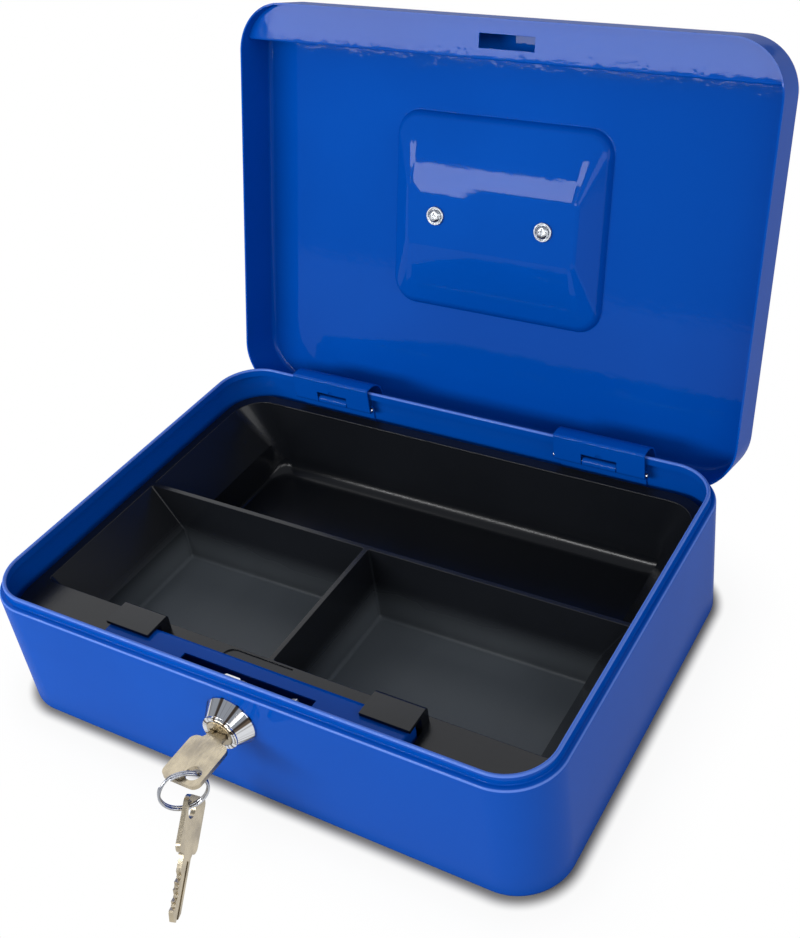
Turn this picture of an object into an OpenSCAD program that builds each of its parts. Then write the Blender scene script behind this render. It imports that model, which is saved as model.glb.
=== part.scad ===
// Steel cash box with a hinged lid, a folding carry handle, a key lock and a lift-out tray.
// Millimetres. Origin: middle of the underside. +X right, +Y rear, +Z up. The lid stands open.

/* [Case] */
// Outer width of the case and lid
case_w = 250; // [210:1:300]
// Outer depth of the case and lid, front to rear
case_d = 182; // [165:1:240]
// Height of the shoulder that the closed lid comes down to
shoulder_h = 57.5; // [56:0.5:75]
// Plan radius of the corners
corner_r = 22; // [16:1:30]
// Thickness of the sheet steel
sheet_t = 0.8; // [0.6:0.1:1]
// Radius of the bottom edge
base_edge_r = 2.5; // [1.5:0.5:4]
// Radius of the edge of the shoulder
shoulder_r = 1.5; // [1.5:0.1:2]
// How far the rim stands in from the case wall
rim_inset = 2.4; // [2.2:0.1:3]
// Height of the rim above the shoulder
rim_h = 4; // [3:0.5:4.5]
// Thickness of the rim, which is folded double
rim_t = 1.6; // [1.4:0.1:2]

/* [Lid] */
// Height of the lid's skirt, from lip to top
lid_h = 22.3; // [20:0.1:30]
// Radius of the lid's top edge
lid_edge_r = 3; // [2:0.5:5]
// Gap between the closed lid's lip and the shoulder
lid_gap = 0.2; // [0.2:0.1:0.4]
// Angle that the lid stands open
lid_open = 106; // [95:1:106]

/* [Hinges] */
// Distance of each hinge's middle in from the end of the case
hinge_inset = 56.5; // [52:0.5:62]
// Width of a hinge leaf
leaf_w = 42; // [34:1:50]
// Thickness of the leaves and brackets
leaf_t = 1; // [0.8:0.1:1]
// Radius of the hinge pin
pin_r = 1.1; // [0.9:0.05:1.1]
// Outer radius of the knuckles
knuckle_r = 1.9; // [1.8:0.05:1.9]
// Distance of the hinge axis in from the rear wall's outer face
hinge_setback = 4.1; // [4.1:0.1:4.4]
// Distance of the hinge axis below the shoulder
hinge_drop = 5.5; // [5.5:0.1:5.8]
// Width of the bracket's middle knuckle
tongue_w = 15.6; // [12:0.2:20]

/* [Latch strip] */
// Depth of the strip's flat, from the front wall inwards
strip_d = 16; // [14:0.5:22]
// Height of the strip's rear flange
strip_flange_h = 9; // [6:0.5:11]
// Gap between the closed strip and the rim
strip_gap = 0.5; // [0.4:0.1:1]
// Width of the slot that the latch enters
strike_w = 25.5; // [25:0.5:32]
// Depth of that slot, front to rear
strike_d = 5.8; // [5:0.2:7]
// Distance of the slot's left end to the left of the lock
strike_left = 5; // [4.6:0.2:6]

/* [Handle well] */
// Width of the well in the lid
well_w = 104; // [100:1:130]
// Depth of the well's opening, front to rear
well_d = 87; // [80:1:100]
// Plan radius of the well's corners
well_r = 11; // [8:1:14]
// Depth of the well below the lid's top
well_drop = 10; // [8.5:0.5:12]
// Width of the well's flat bottom
well_floor_w = 83; // [82:1:96]
// Depth of the well's flat bottom, front to rear
well_floor_d = 28; // [20:1:34]
// Distance of the well's middle in front of the lid's middle
well_y = 5; // [0:1:10]

/* [Carry handle] */
// Spacing of the two handle screws
handle_screw_spacing = 53; // [50:1:60]
// Spacing of the handle's legs
handle_w = 74; // [72:0.5:77]
// Distance from the handle's pivot to its grip
handle_reach = 27; // [22:0.5:32]
// Radius of the handle's rod
handle_rod_r = 2; // [1.6:0.1:2.2]
// Radius of the bends in the rod
handle_bend_r = 7; // [5:0.5:10]
// Height of the pivot above the well's bottom
handle_pivot_h = 3.4; // [3.2:0.1:4]

/* [Lock] */
// Distance of the lock's axis below the shoulder
lock_drop = 15.5; // [15.5:0.1:16.5]
// Radius of the bezel where it meets the wall
bezel_base_r = 11; // [9:0.5:13]
// Radius of the bezel's front face
bezel_front_r = 7.6; // [7:0.1:8.4]
// Length of the bezel in front of the wall
bezel_len = 7.5; // [5:0.5:10]
// Radius of the threaded barrel
barrel_r = 6.5; // [6:0.1:6.8]
// Radius of the turning plug
plug_r = 4.7; // [4.5:0.1:5]
// Half the width of the lock nut across its flats
nut_flat_r = 7.6; // [7.3:0.1:7.8]
// Thickness of the lock nut
nut_t = 4.5; // [3:0.5:5]
// Thickness of the latch cam
cam_t = 2.5; // [2:0.1:3]
// Angle that the key turns from open to locked
lock_turn = 90; // [85:1:95]

/* [Lock cover] */
// Width of the cover over the lock
cover_w = 136; // [120:1:140]
// Depth of the cover, from the front wall inwards
cover_d = 20; // [19:0.5:24]
// Distance of the cover's top below the shoulder
cover_drop = 6; // [5.6:0.1:6.3]
// Height of the cover's sides
cover_h = 29; // [22:1:36]
// Width of the slot that the latch swings through
cover_slot_w = 60; // [56:1:70]
// Depth of that slot, front to rear
cover_slot_d = 6.2; // [5:0.2:7]

/* [Tray] */
// Distance of the tray's top below the shoulder
tray_drop = 11; // [11:0.5:16]
// Depth of the compartments
tray_depth = 38; // [30:1:39]
// Thickness of the tray's walls
tray_t = 1.5; // [1.2:0.1:2]
// Gap between the tray and the rim all round
tray_gap = 0.5; // [0.4:0.1:1]
// Width of the flange at the sides
tray_flange = 4.5; // [4:0.5:8]
// Run of the sloping side walls, from the mouth in to the knee
tray_knee_run = 13; // [8:0.5:16]
// Distance of the knee below the tray's top
tray_knee_drop = 21; // [16:1:24]
// Distance of the cross divider behind the middle of the box
divider_y = 6.5; // [-15:0.5:20]
// Width of the dividers along their tops
divider_t = 2.2; // [1:0.1:4]
// Width of each tab that lies on the lock cover
tab_w = 21; // [15:0.5:24]
// Distance of each tab's middle from the middle of the box
tab_x = 58.5; // [44:0.5:60]
// Length of each tab over the lock cover
tab_reach = 7; // [4:0.5:9]

/* [Keys] */
// Width of the key's bow
bow_w = 16.5; // [15:0.5:22]
// Length of the key's bow
bow_len = 20; // [18:0.5:24]
// Length of the neck between bow and lock
neck_len = 4; // [3:0.5:6]
// Length of the key's blade
blade_len = 19; // [15:0.5:20]
// Width of the key's blade
blade_w = 7; // [6:0.1:7.2]
// Thickness of the keys
key_t = 1.8; // [1.6:0.1:2]
// Radius of the hole in the bow
bow_hole_r = 3.1; // [3:0.1:3.4]
// Radius of the key ring, at the middle of its wire
ring_r = 8.6; // [8.4:0.1:9.4]
// Radius of the key ring's wire
ring_wire_r = 0.55; // [0.45:0.05:0.6]

/* [Hidden] */
$fn = 64;

overcut = 1;           // how far a cutting shape runs past what it cuts
run_gap = 0.05;        // radial clearance of a shaft in its bore
seat_gap = 0.2;        // clearance under a piece that rests on another
bond_gap = 0.05;       // film of glue or paint between two flat faces

// Case and lid
half_w = case_w / 2;
half_d = case_d / 2;
rim_z = shoulder_h + rim_h;
lip_z = shoulder_h + lid_gap;
lid_top_z = lip_z + lid_h;
inner_front_y = sheet_t - half_d;
inner_rear_y = half_d - sheet_t;

// Hinge: the leaf is drawn as it stands with the lid open, from the hinge axis
hinge_x = half_w - hinge_inset;
axis_y = half_d - hinge_setback;
axis_z = shoulder_h - hinge_drop;
leaf_top = hinge_drop + rim_h + 2.2;
curl_in = hinge_setback - rim_inset + rim_t + 6.7;
curl_r = 8.2;
curl_y = curl_in - curl_r;
curl_z = leaf_top - leaf_t - curl_r;
wall_run = hinge_setback - sheet_t;
weld_len = 9;
cutout_w = tongue_w + 0.8;
cutout_top = 4.6;
thumb_r = 1.6;
bracket_w = leaf_w - 2;
bracket_low = 9;
bracket_high = hinge_drop - sheet_t - 0.4;
pin_over = 1;

// Latch strip, in the closed lid
strip_z = rim_z + strip_gap;
strip_rear_y = inner_front_y + strip_d;

// Lock
lock_z = shoulder_h - lock_drop;
bezel_face_y = -half_d - bezel_len;
barrel_rear_y = inner_front_y + 7;
cam_front_y = barrel_rear_y + 0.2;
cam_rear_y = cam_front_y + cam_t;
cam_mid_y = (cam_front_y + cam_rear_y) / 2;
plug_flange_t = 1.5;
hub_flat_r = 9.5;
hook_inner_r = (strip_z + sheet_t + 0.5 - lock_z) / cos(25);
hook_outer_r = hook_inner_r + 3.5;
hook_from = -25;
neck_from = -8;
neck_to = 13;
plug_flat = plug_r - 0.8;
cam_nut_t = 2.2;
plug_end_y = bezel_face_y + blade_len + 1.4;

// Lock cover
cover_z = shoulder_h - cover_drop;
cover_rear_y = inner_front_y + cover_d;

// Tray
tray_z = shoulder_h - tray_drop;
tray_x = half_w - rim_inset - rim_t - tray_gap;
tray_y = half_d - rim_inset - rim_t - tray_gap;
tray_front_y = cover_rear_y + 0.5;
tray_corner_r = corner_r - rim_inset - rim_t - tray_gap;
pocket_x = tray_x - tray_flange;
pocket_rear_y = tray_y - 5.5;
pocket_front_y = tray_front_y + 6.5;
knee_x = pocket_x - tray_knee_run;
knee_rear_y = pocket_rear_y - 1.5;
knee_front_y = pocket_front_y + 2.5;
tray_floor_z = tray_z - tray_depth;
divider_x = -1;
tray_foot_r = 4;
tray_foot_in = 14;
tab_z = cover_z + seat_gap;
tab_back = 5;

// Handle, in the closed lid
well_mid_y = -well_y;
well_floor_z = lid_top_z - well_drop;
pivot_z = well_floor_z + handle_pivot_h;
screw_x = handle_screw_spacing / 2;
screw_r = 2;
block_in = screw_x - 5;
block_out = handle_w / 2 - handle_rod_r - 1;
block_d = 12;
block_eye_r = handle_pivot_h - 2 * bond_gap;
block_h = handle_pivot_h + block_eye_r;
rod_pin_end = screw_x + screw_r + 1.2;
washer_r = 4.2;
washer_t = 0.8;
screw_head_r = 3.4;
screw_head_h = 2;

// Keys: bow at -Y, blade at +Y, stop at 0
stop_r = 8;
hole_x = bow_w / 2 - 4.95;
hole_y = 5.2 - neck_len - bow_len;
blade_tip = 3;
ring_angle = 47;
spare_angle = 17;
web_mid = (bow_hole_r + 5.2 / sin(ring_angle)) / 2;
ring_lift = 0.9;
ring_x = hole_x - web_mid * cos(ring_angle);
ring_y = bezel_face_y + hole_y - web_mid * sin(ring_angle);
ring_top_z = lock_z + key_t / 2 + ring_lift;
ring_z = ring_top_z - ring_r + ring_wire_r;
spare_z = ring_z - ring_r - 1.6;
// The spare key leans outwards until its blade just clears the ground
lean_run = blade_len - 2 - hole_y;
lean_side = hole_x + blade_w / 2;
lean_reach = norm([lean_run, lean_side]);
spare_lean = atan2(lean_side, lean_run) + acos(min(1, (spare_z - 0.4) / lean_reach));

// Colours
paint = [0.05, 0.25, 0.7];
plastic = [0.1, 0.11, 0.12];
chrome = [0.85, 0.86, 0.88];
zinc = [0.72, 0.74, 0.76];
nickel = [0.76, 0.73, 0.66];

// Solid slab with upright round corners, standing on z = 0
module round_slab(w, d, r, h) {
    translate([-w / 2 + r, -d / 2, 0]) cube([w - 2 * r, d, h]);
    translate([-w / 2, -d / 2 + r, 0]) cube([w, d - 2 * r, h]);
    for (sx = [-1, 1], sy = [-1, 1])
        translate([sx * (w / 2 - r), sy * (d / 2 - r), 0]) cylinder(r = r, h = h);
}

// Sweeps a wall's section round a rectangle with round corners; x = 0 is the corner's centre
module round_frame(w, d, r) {
    for (turn = [0, 180]) rotate([0, 0, turn]) {
        translate([r - w / 2, d / 2 - r, 0])
            rotate([90, 0, 90]) linear_extrude(w - 2 * r) children();
        rotate([0, 0, -90]) translate([r - d / 2, w / 2 - r, 0])
            rotate([90, 0, 90]) linear_extrude(d - 2 * r) children();
        translate([w / 2 - r, d / 2 - r, 0]) rotate_extrude(angle = 90) children();
        translate([r - w / 2, d / 2 - r, 0])
            rotate([0, 0, 90]) rotate_extrude(angle = 90) children();
    }
}

// Filled half section, from the corner's centre out to x1, with a round low and high edge
module section_fill(x1, z0, z1, low_r, high_r) {
    translate([0, z0 + low_r]) square([x1, z1 - z0 - low_r - high_r]);
    if (low_r > 0) {
        translate([0, z0]) square([x1 - low_r, low_r]);
        translate([x1 - low_r, z0 + low_r]) circle(r = low_r);
    }
    if (high_r > 0) {
        translate([0, z1 - high_r]) square([x1 - high_r, high_r]);
        translate([x1 - high_r, z1 - high_r]) circle(r = high_r);
    }
}

module case_section() {
    rim_x = corner_r - rim_inset;
    difference() {
        section_fill(corner_r, 0, shoulder_h, base_edge_r, shoulder_r);
        section_fill(corner_r - sheet_t, sheet_t, shoulder_h - sheet_t,
            base_edge_r - sheet_t, shoulder_r - sheet_t);
        translate([0, sheet_t + base_edge_r]) square([rim_x - rim_t, shoulder_h]);
    }
    translate([rim_x - rim_t, shoulder_h - sheet_t])
        square([rim_t, rim_h + sheet_t - rim_t / 2]);
    translate([rim_x - rim_t / 2, rim_z - rim_t / 2]) circle(r = rim_t / 2);
}

module case_shell() {
    color(paint) difference() {
        union() {
            round_frame(case_w, case_d, corner_r) case_section();
            translate([corner_r - half_w, corner_r - half_d, 0])
                cube([case_w - 2 * corner_r, case_d - 2 * corner_r, sheet_t]);
        }
        translate([0, inner_front_y + overcut, lock_z])
            rotate([90, 0, 0]) cylinder(r = barrel_r + run_gap, h = sheet_t + 2 * overcut);
    }
}

// Folded cover over the back of the lock, open at the front and underneath
module lock_cover() {
    edge_r = 3;
    color(paint) difference() {
        translate([0, 0, cover_z - cover_h]) cover_block(cover_w, cover_rear_y, edge_r, cover_h);
        translate([0, 0, cover_z - cover_h - overcut])
            cover_block(cover_w - 2 * sheet_t, cover_rear_y - sheet_t, edge_r - sheet_t,
                cover_h - sheet_t + overcut);
        translate([-cover_slot_w / 2, cam_mid_y - cover_slot_d / 2, cover_z - sheet_t - overcut])
            cube([cover_slot_w, cover_slot_d, sheet_t + 2 * overcut]);
    }
}

// Block from the front wall's inner face to y1, with its two rear edges rounded
module cover_block(w, y1, r, h) {
    translate([-w / 2, inner_front_y, 0]) cube([w, y1 - inner_front_y - r, h]);
    translate([r - w / 2, inner_front_y, 0]) cube([w - 2 * r, y1 - inner_front_y, h]);
    for (sx = [-1, 1]) translate([sx * (w / 2 - r), y1 - r, 0]) cylinder(r = r, h = h);
}

// Places a shape drawn in the y-z plane about the hinge axis, extruded across from x0
module hinge_extrude(x0, w) {
    translate([x0, axis_y, axis_z]) rotate([90, 0, 90]) linear_extrude(w) children();
}

// Bracket welded inside the rear wall, with the middle knuckle on its tongue
module hinge_bracket(mid_x) {
    color(paint) {
        hinge_extrude(mid_x - bracket_w / 2, bracket_w)
            translate([wall_run - sheet_t, -bracket_low])
                square([sheet_t, bracket_low + bracket_high]);
        hinge_extrude(mid_x - tongue_w / 2, tongue_w) difference() {
            union() {
                circle(r = knuckle_r);
                translate([0, -knuckle_r]) square([wall_run, leaf_t]);
            }
            circle(r = pin_r);
        }
    }
}

module hinge_pin(mid_x) {
    length = leaf_w + 2 * pin_over;
    color(zinc) translate([mid_x - length / 2, axis_y, axis_z])
        rotate([0, 90, 0]) cylinder(r = pin_r, h = length);
}

// Section of the leaf with the lid open: knuckle, upright, curl over the rim, tail
module leaf_open_section() {
    circle(r = knuckle_r);
    translate([-knuckle_r, 0]) square([leaf_t, leaf_top]);
    translate([-knuckle_r, leaf_top - leaf_t]) square([curl_y + knuckle_r, leaf_t]);
    intersection() {
        translate([curl_y, curl_z]) difference() {
            circle(r = curl_r + leaf_t);
            circle(r = curl_r);
        }
        translate([curl_y, curl_z]) square(curl_r + leaf_t);
    }
    translate([curl_in, curl_z - 12]) square([leaf_t, 12]);
}

// Section of the leaf as it lies in the closed lid, where its tail ends on the rear wall
module leaf_section() {
    weld_z = (curl_in + wall_run * -cos(lid_open)) / sin(lid_open);
    difference() {
        intersection() {
            union() {
                rotate(lid_open) leaf_open_section();
                translate([wall_run - leaf_t, weld_z]) square([leaf_t, weld_len]);
            }
            translate([-30, -30]) square([30 + wall_run, 90]);
        }
        circle(r = pin_r + run_gap);
    }
}

module hinge_leaf(mid_x) {
    color(paint) place_lid() difference() {
        hinge_extrude(mid_x - leaf_w / 2, leaf_w) leaf_section();
        translate([mid_x, axis_y, axis_z]) rotate([lid_open, 0, 0]) {
            translate([-cutout_w / 2, -knuckle_r - overcut, -knuckle_r - overcut])
                cube([cutout_w, 2 * knuckle_r + 2 * overcut, cutout_top + knuckle_r + overcut]);
            translate([0, -knuckle_r - overcut, cutout_top])
                rotate([-90, 0, 0]) cylinder(r = thumb_r, h = leaf_t + 2 * overcut);
        }
    }
}

// Turns what is drawn in the closed lid to where the lid stands
module place_lid() {
    translate([0, axis_y, axis_z]) rotate([-lid_open, 0, 0])
        translate([0, -axis_y, -axis_z]) children();
}

module lid_section() {
    difference() {
        section_fill(corner_r, 0, lid_h, 0, lid_edge_r);
        section_fill(corner_r - sheet_t, -overcut, lid_h - sheet_t, 0, lid_edge_r - sheet_t);
    }
}

// Sloping well: its opening at the lid's top and its flat bottom, grown by a wall's thickness
module well_block(grow, drop) {
    hull() {
        translate([0, well_mid_y, lid_top_z - drop])
            linear_extrude(sheet_t) plan(well_w + 2 * grow, well_d + 2 * grow, well_r + grow);
        translate([0, well_mid_y, well_floor_z - drop])
            linear_extrude(sheet_t)
                plan(well_floor_w + 2 * grow, well_floor_d + 2 * grow, well_r / 2 + grow);
    }
}

// Rectangle with round corners
module plan(w, d, r) {
    square([w - 2 * r, d], center = true);
    square([w, d - 2 * r], center = true);
    for (sx = [-1, 1], sy = [-1, 1])
        translate([sx * (w / 2 - r), sy * (d / 2 - r)]) circle(r = r, $fn = 32);
}

module lid_shell() {
    color(paint) place_lid() difference() {
        union() {
            translate([0, 0, lip_z]) round_frame(case_w, case_d, corner_r) lid_section();
            translate([corner_r - half_w, corner_r - half_d, lid_top_z - sheet_t])
                cube([case_w - 2 * corner_r, case_d - 2 * corner_r, sheet_t]);
            well_block(sheet_t, sheet_t);
        }
        well_block(0, 0);
        for (sx = [-1, 1]) translate([sx * screw_x, well_mid_y, well_floor_z - sheet_t - overcut])
            cylinder(r = screw_r + 0.2, h = sheet_t + 2 * overcut);
    }
}

// Strip across the front of the lid, with the slot that the latch hooks into
module latch_strip() {
    inner_w = case_w - 2 * sheet_t - 2 * bond_gap;
    inner_d = case_d - 2 * sheet_t - 2 * bond_gap;
    color(paint) place_lid() difference() {
        intersection() {
            translate([0, 0, strip_z])
                round_slab(inner_w, inner_d, corner_r - sheet_t, strip_flange_h + sheet_t);
            union() {
                translate([-half_w, -half_d, strip_z]) cube([case_w, strip_rear_y + half_d, sheet_t]);
                translate([-half_w, strip_rear_y - sheet_t, strip_z])
                    cube([case_w, sheet_t, strip_flange_h + sheet_t]);
            }
        }
        translate([-strike_left, cam_mid_y - strike_d / 2, strip_z - overcut])
            cube([strike_w, strike_d, sheet_t + 2 * overcut]);
    }
}

// Saddle block that holds one end of the carry handle
module handle_pivot(side) {
    color(zinc) place_lid() translate([0, well_mid_y, well_floor_z + bond_gap]) difference() {
        union() {
            translate([side > 0 ? block_in : -block_out, -block_d / 2, 0])
                cube([block_out - block_in, block_d, block_h - 3]);
            translate([side > 0 ? block_in : -block_out, 0, handle_pivot_h - bond_gap])
                rotate([0, 90, 0]) cylinder(r = block_eye_r, h = block_out - block_in);
        }
        translate([side * (rod_pin_end - 0.3), 0, handle_pivot_h - bond_gap]) rotate([0, side * 90, 0])
            cylinder(r = handle_rod_r + run_gap, h = block_out - rod_pin_end + 0.3 + overcut);
        translate([side * screw_x, 0, -overcut])
            cylinder(r = screw_r + run_gap, h = block_h - 1 + overcut);
    }
}

module handle_screws() {
    recess = 3;
    color(zinc) place_lid() for (sx = [-1, 1])
        translate([sx * screw_x, well_mid_y, well_floor_z - sheet_t - washer_t]) {
            cylinder(r = screw_r, h = washer_t + sheet_t + block_h - 1.5);
            difference() {
                intersection() {
                    translate([0, 0, -screw_head_h]) cylinder(r = screw_head_r, h = screw_head_h);
                    translate([0, 0, 2.5]) sphere(r = 5.2);
                }
                for (turn = [0, 90]) rotate([0, 0, turn])
                    translate([-recess / 2, -0.4, -screw_head_h - 1]) cube([recess, 0.8, 2]);
            }
        }
}

module handle_washers() {
    color(zinc) place_lid() for (sx = [-1, 1])
        translate([sx * screw_x, well_mid_y, well_floor_z - sheet_t - washer_t]) difference() {
            cylinder(r = washer_r, h = washer_t);
            translate([0, 0, -overcut])
                cylinder(r = screw_r + run_gap, h = washer_t + 2 * overcut);
        }
}

// One half of the bail: half the grip, the bend, the leg, the tight bend and the pivot pin
module handle_half() {
    pin_bend_r = 3;
    leg_x = handle_w / 2;
    rotate([0, 90, 0]) translate([0, handle_reach, 0])
        cylinder(r = handle_rod_r, h = leg_x - handle_bend_r);
    translate([leg_x - handle_bend_r, handle_reach - handle_bend_r, 0])
        rotate_extrude(angle = 90) translate([handle_bend_r, 0]) circle(r = handle_rod_r);
    translate([leg_x, pin_bend_r, 0]) rotate([-90, 0, 0])
        cylinder(r = handle_rod_r, h = handle_reach - handle_bend_r - pin_bend_r);
    translate([leg_x - pin_bend_r, pin_bend_r, 0]) rotate([0, 0, -90])
        rotate_extrude(angle = 90) translate([pin_bend_r, 0]) circle(r = handle_rod_r);
    translate([rod_pin_end, 0, 0]) rotate([0, 90, 0])
        cylinder(r = handle_rod_r, h = leg_x - pin_bend_r - rod_pin_end);
}

// The handle hangs straight down from its pivots while the lid stands open
module carry_handle() {
    color(chrome) place_lid() translate([0, well_mid_y, pivot_z])
        rotate([lid_open - 90, 0, 0]) {
            handle_half();
            mirror([1, 0, 0]) handle_half();
        }
}

// Lays a solid of revolution along the lock's axis, with z = 0 at y0 and +z to the rear
module along_lock(y0) {
    translate([0, y0, lock_z]) rotate([-90, 0, 0]) children();
}

module lock_barrel() {
    color(chrome) along_lock(bezel_face_y) difference() {
        union() {
            cylinder(r1 = bezel_front_r, r2 = bezel_base_r, h = bezel_len - 0.6);
            translate([0, 0, bezel_len - 0.6]) cylinder(r = bezel_base_r, h = 0.6);
            translate([0, 0, bezel_len])
                cylinder(r = barrel_r, h = barrel_rear_y - bezel_face_y - bezel_len);
        }
        translate([0, 0, -overcut])
            cylinder(r = plug_r + run_gap, h = barrel_rear_y - bezel_face_y + 2 * overcut);
        translate([0, 0, -overcut])
            cylinder(r = plug_r + 0.9 + run_gap, h = plug_flange_t + run_gap + overcut);
    }
}

module lock_nut() {
    color(zinc) along_lock(inner_front_y) difference() {
        cylinder(r = nut_flat_r / cos(30), h = nut_t, $fn = 6);
        translate([0, 0, -overcut]) cylinder(r = barrel_r, h = nut_t + 2 * overcut);
    }
}

// Plug with its two flats, from y0 to its end, grown by a clearance
module plug_tail(y0, y1, grow) {
    along_lock(y0) intersection() {
        cylinder(r = plug_r + grow, h = y1 - y0);
        translate([-plug_r - 1, -plug_flat - grow, 0])
            cube([2 * plug_r + 2, 2 * plug_flat + 2 * grow, y1 - y0]);
    }
}

// Turning plug with its keyway, which lies flat while the lock is open
module lock_plug() {
    way_w = blade_w + 0.4;
    way_t = key_t + 0.4;
    color(nickel) difference() {
        union() {
            along_lock(bezel_face_y) {
                cylinder(r = plug_r + 0.9, h = plug_flange_t);
                cylinder(r = plug_r, h = barrel_rear_y - bezel_face_y);
            }
            plug_tail(barrel_rear_y - overcut, plug_end_y, 0);
        }
        along_lock(bezel_face_y - overcut)
            translate([-way_w / 2, -way_t / 2, 0]) cube([way_w, way_t, blade_len + overcut + 0.4]);
    }
}

// Sector of a ring, with angles from straight up towards the right
module ring_sector(inner_r, outer_r, from, to) {
    far = outer_r * 2;
    intersection() {
        difference() {
            circle(r = outer_r);
            if (inner_r > 0) circle(r = inner_r);
        }
        polygon([[0, 0], [far * sin(from), far * cos(from)], [far * sin(to), far * cos(to)]]);
    }
}

// Hooked cam, drawn locked and turned back to the open position
module latch_cam() {
    color(zinc) difference() {
        translate([0, cam_rear_y, lock_z]) rotate([0, lock_turn, 0])
            rotate([90, 0, 0]) linear_extrude(cam_t) union() {
                rotate(30) circle(r = hub_flat_r / cos(30), $fn = 6);
                ring_sector(0, hook_outer_r, neck_from, neck_to);
                ring_sector(hook_inner_r, hook_outer_r, hook_from, neck_to);
            }
        plug_tail(cam_front_y - overcut, cam_rear_y + overcut, 0);
    }
}

// Slotted round nut on the end of the plug
module cam_nut() {
    slot_w = 1.2;
    outer_r = plug_r + 2.2;
    color(zinc) difference() {
        along_lock(cam_rear_y) cylinder(r = outer_r, h = cam_nut_t);
        plug_tail(cam_rear_y - overcut, cam_rear_y + cam_nut_t + overcut, 0);
        along_lock(cam_rear_y + cam_nut_t - 0.8)
            translate([-slot_w / 2, -outer_r - overcut, 0])
                cube([slot_w, 2 * outer_r + 2 * overcut, 0.8 + overcut]);
    }
}

// Flat key: bow, neck and blade with its cuts
module key_blank() {
    cuts = [1.3, 0.8, 1.6, 1.1];
    bow_r = 3;
    shoulder_y = -neck_len;
    root = 1.5;
    wing = 2.5;
    half = blade_w / 2;
    translate([0, 0, -key_t / 2]) difference() {
        union() {
            translate([0, shoulder_y - bow_len / 2, 0]) round_slab(bow_w, bow_len, bow_r, key_t);
            linear_extrude(key_t) polygon([
                [-half - wing, shoulder_y - root], [-half, shoulder_y + root],
                [-half, blade_len - blade_tip], [-half / 3, blade_len],
                [half / 3, blade_len], [half, blade_len - blade_tip],
                [half, shoulder_y + root], [half + wing, shoulder_y - root]
            ]);
        }
        translate([hole_x, hole_y, -overcut]) cylinder(r = bow_hole_r, h = key_t + 2 * overcut);
        for (i = [0 : len(cuts) - 1])
            translate([half, 4 + i * 3.2, -overcut]) linear_extrude(key_t + 2 * overcut)
                polygon([
                    [-cuts[i], -0.5], [overcut, -0.5 - cuts[i] - overcut],
                    [overcut, 0.5 + cuts[i] + overcut], [-cuts[i], 0.5]
                ]);
    }
}

module key_in_lock() {
    color(nickel) translate([0, bezel_face_y, lock_z]) key_blank();
}

// Split ring of two turns side by side, upright through the bow's hole
module key_ring() {
    color(chrome) translate([ring_x, ring_y, ring_z]) rotate([90, 0, ring_angle])
        rotate_extrude() for (side = [-1, 1])
            translate([ring_r, side * ring_wire_r * 0.98]) circle(r = ring_wire_r, $fn = 24);
}

module spare_key() {
    color(nickel) translate([ring_x, ring_y, spare_z])
        rotate([0, 0, spare_angle]) rotate([270 - spare_lean, 0, 0]) rotate([0, 90, 0])
            translate([-hole_x, -hole_y, 0]) key_blank();
}

// One level of the tub's plan: side, front and rear walls, with the radii of its corners
module tub_level(x, front_y, rear_y, front_r, rear_r, grow, z) {
    translate([0, 0, z]) linear_extrude(0.01) hull() for (sx = [-1, 1]) {
        translate([sx * (x - front_r), front_y + front_r]) circle(r = front_r + grow, $fn = 32);
        translate([sx * (x - rear_r), rear_y - rear_r]) circle(r = rear_r + grow, $fn = 48);
    }
}

module tub_mouth(grow, z) {
    tub_level(pocket_x, pocket_front_y, pocket_rear_y, 3, 14, grow, z);
}

module tub_knee(grow, z) {
    tub_level(knee_x, knee_front_y, knee_rear_y, 3, 7, grow, z);
}

// Tub of the tray: sloping sides down to a knee, an upright band and a rounded foot
module tub(grow) {
    knee_z = tray_z - tray_knee_drop;
    hull() {
        tub_mouth(grow, tray_z + 0.1 - grow);
        tub_knee(grow, knee_z);
    }
    hull() {
        tub_knee(grow, knee_z);
        tub_knee(grow, tray_floor_z + 6);
    }
    hull() {
        tub_knee(grow, tray_floor_z + 6);
        tub_level(knee_x - 0.5, knee_front_y + 1, knee_rear_y - 2.5, 4, 9, grow,
            tray_floor_z + 2 - grow / 2);
    }
    hull() {
        tub_level(knee_x - 0.5, knee_front_y + 1, knee_rear_y - 2.5, 4, 9, grow,
            tray_floor_z + 2 - grow / 2);
        tub_level(knee_x - 2, knee_front_y + 3, knee_rear_y - 7, 4, 12, grow,
            tray_floor_z - grow);
    }
}

// Upright walls between the three compartments
module tray_dividers() {
    low_z = tray_floor_z - 1;
    top_z = tray_z - 0.5;
    translate([-half_w, divider_y - divider_t / 2, low_z])
        cube([case_w, divider_t, top_z - low_z]);
    translate([divider_x - divider_t / 2, -half_d, low_z])
        cube([divider_t, half_d + divider_y, top_z - low_z]);
}

// Flange of the tray, cut back in front where the lock cover stands
module tray_flange_plate() {
    difference() {
        translate([0, 0, tray_z - tray_t])
            round_slab(2 * tray_x, 2 * tray_y, tray_corner_r, tray_t);
        translate([-cover_w / 2 - 1, -half_d, tray_z - tray_t - overcut])
            cube([cover_w + 2, half_d + tray_front_y, tray_t + 2 * overcut]);
    }
}

// Tab that rises from the flange and lies on the lock cover
module tray_tab(mid_x) {
    translate([mid_x - tab_w / 2, tray_front_y, tray_z - tray_t])
        cube([tab_w, tab_back, tab_z + tray_t - tray_z + tray_t]);
    translate([mid_x - tab_w / 2, cover_rear_y - tab_reach, tab_z])
        cube([tab_w, tab_reach + tray_front_y - cover_rear_y + tab_back, tray_t]);
}

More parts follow.
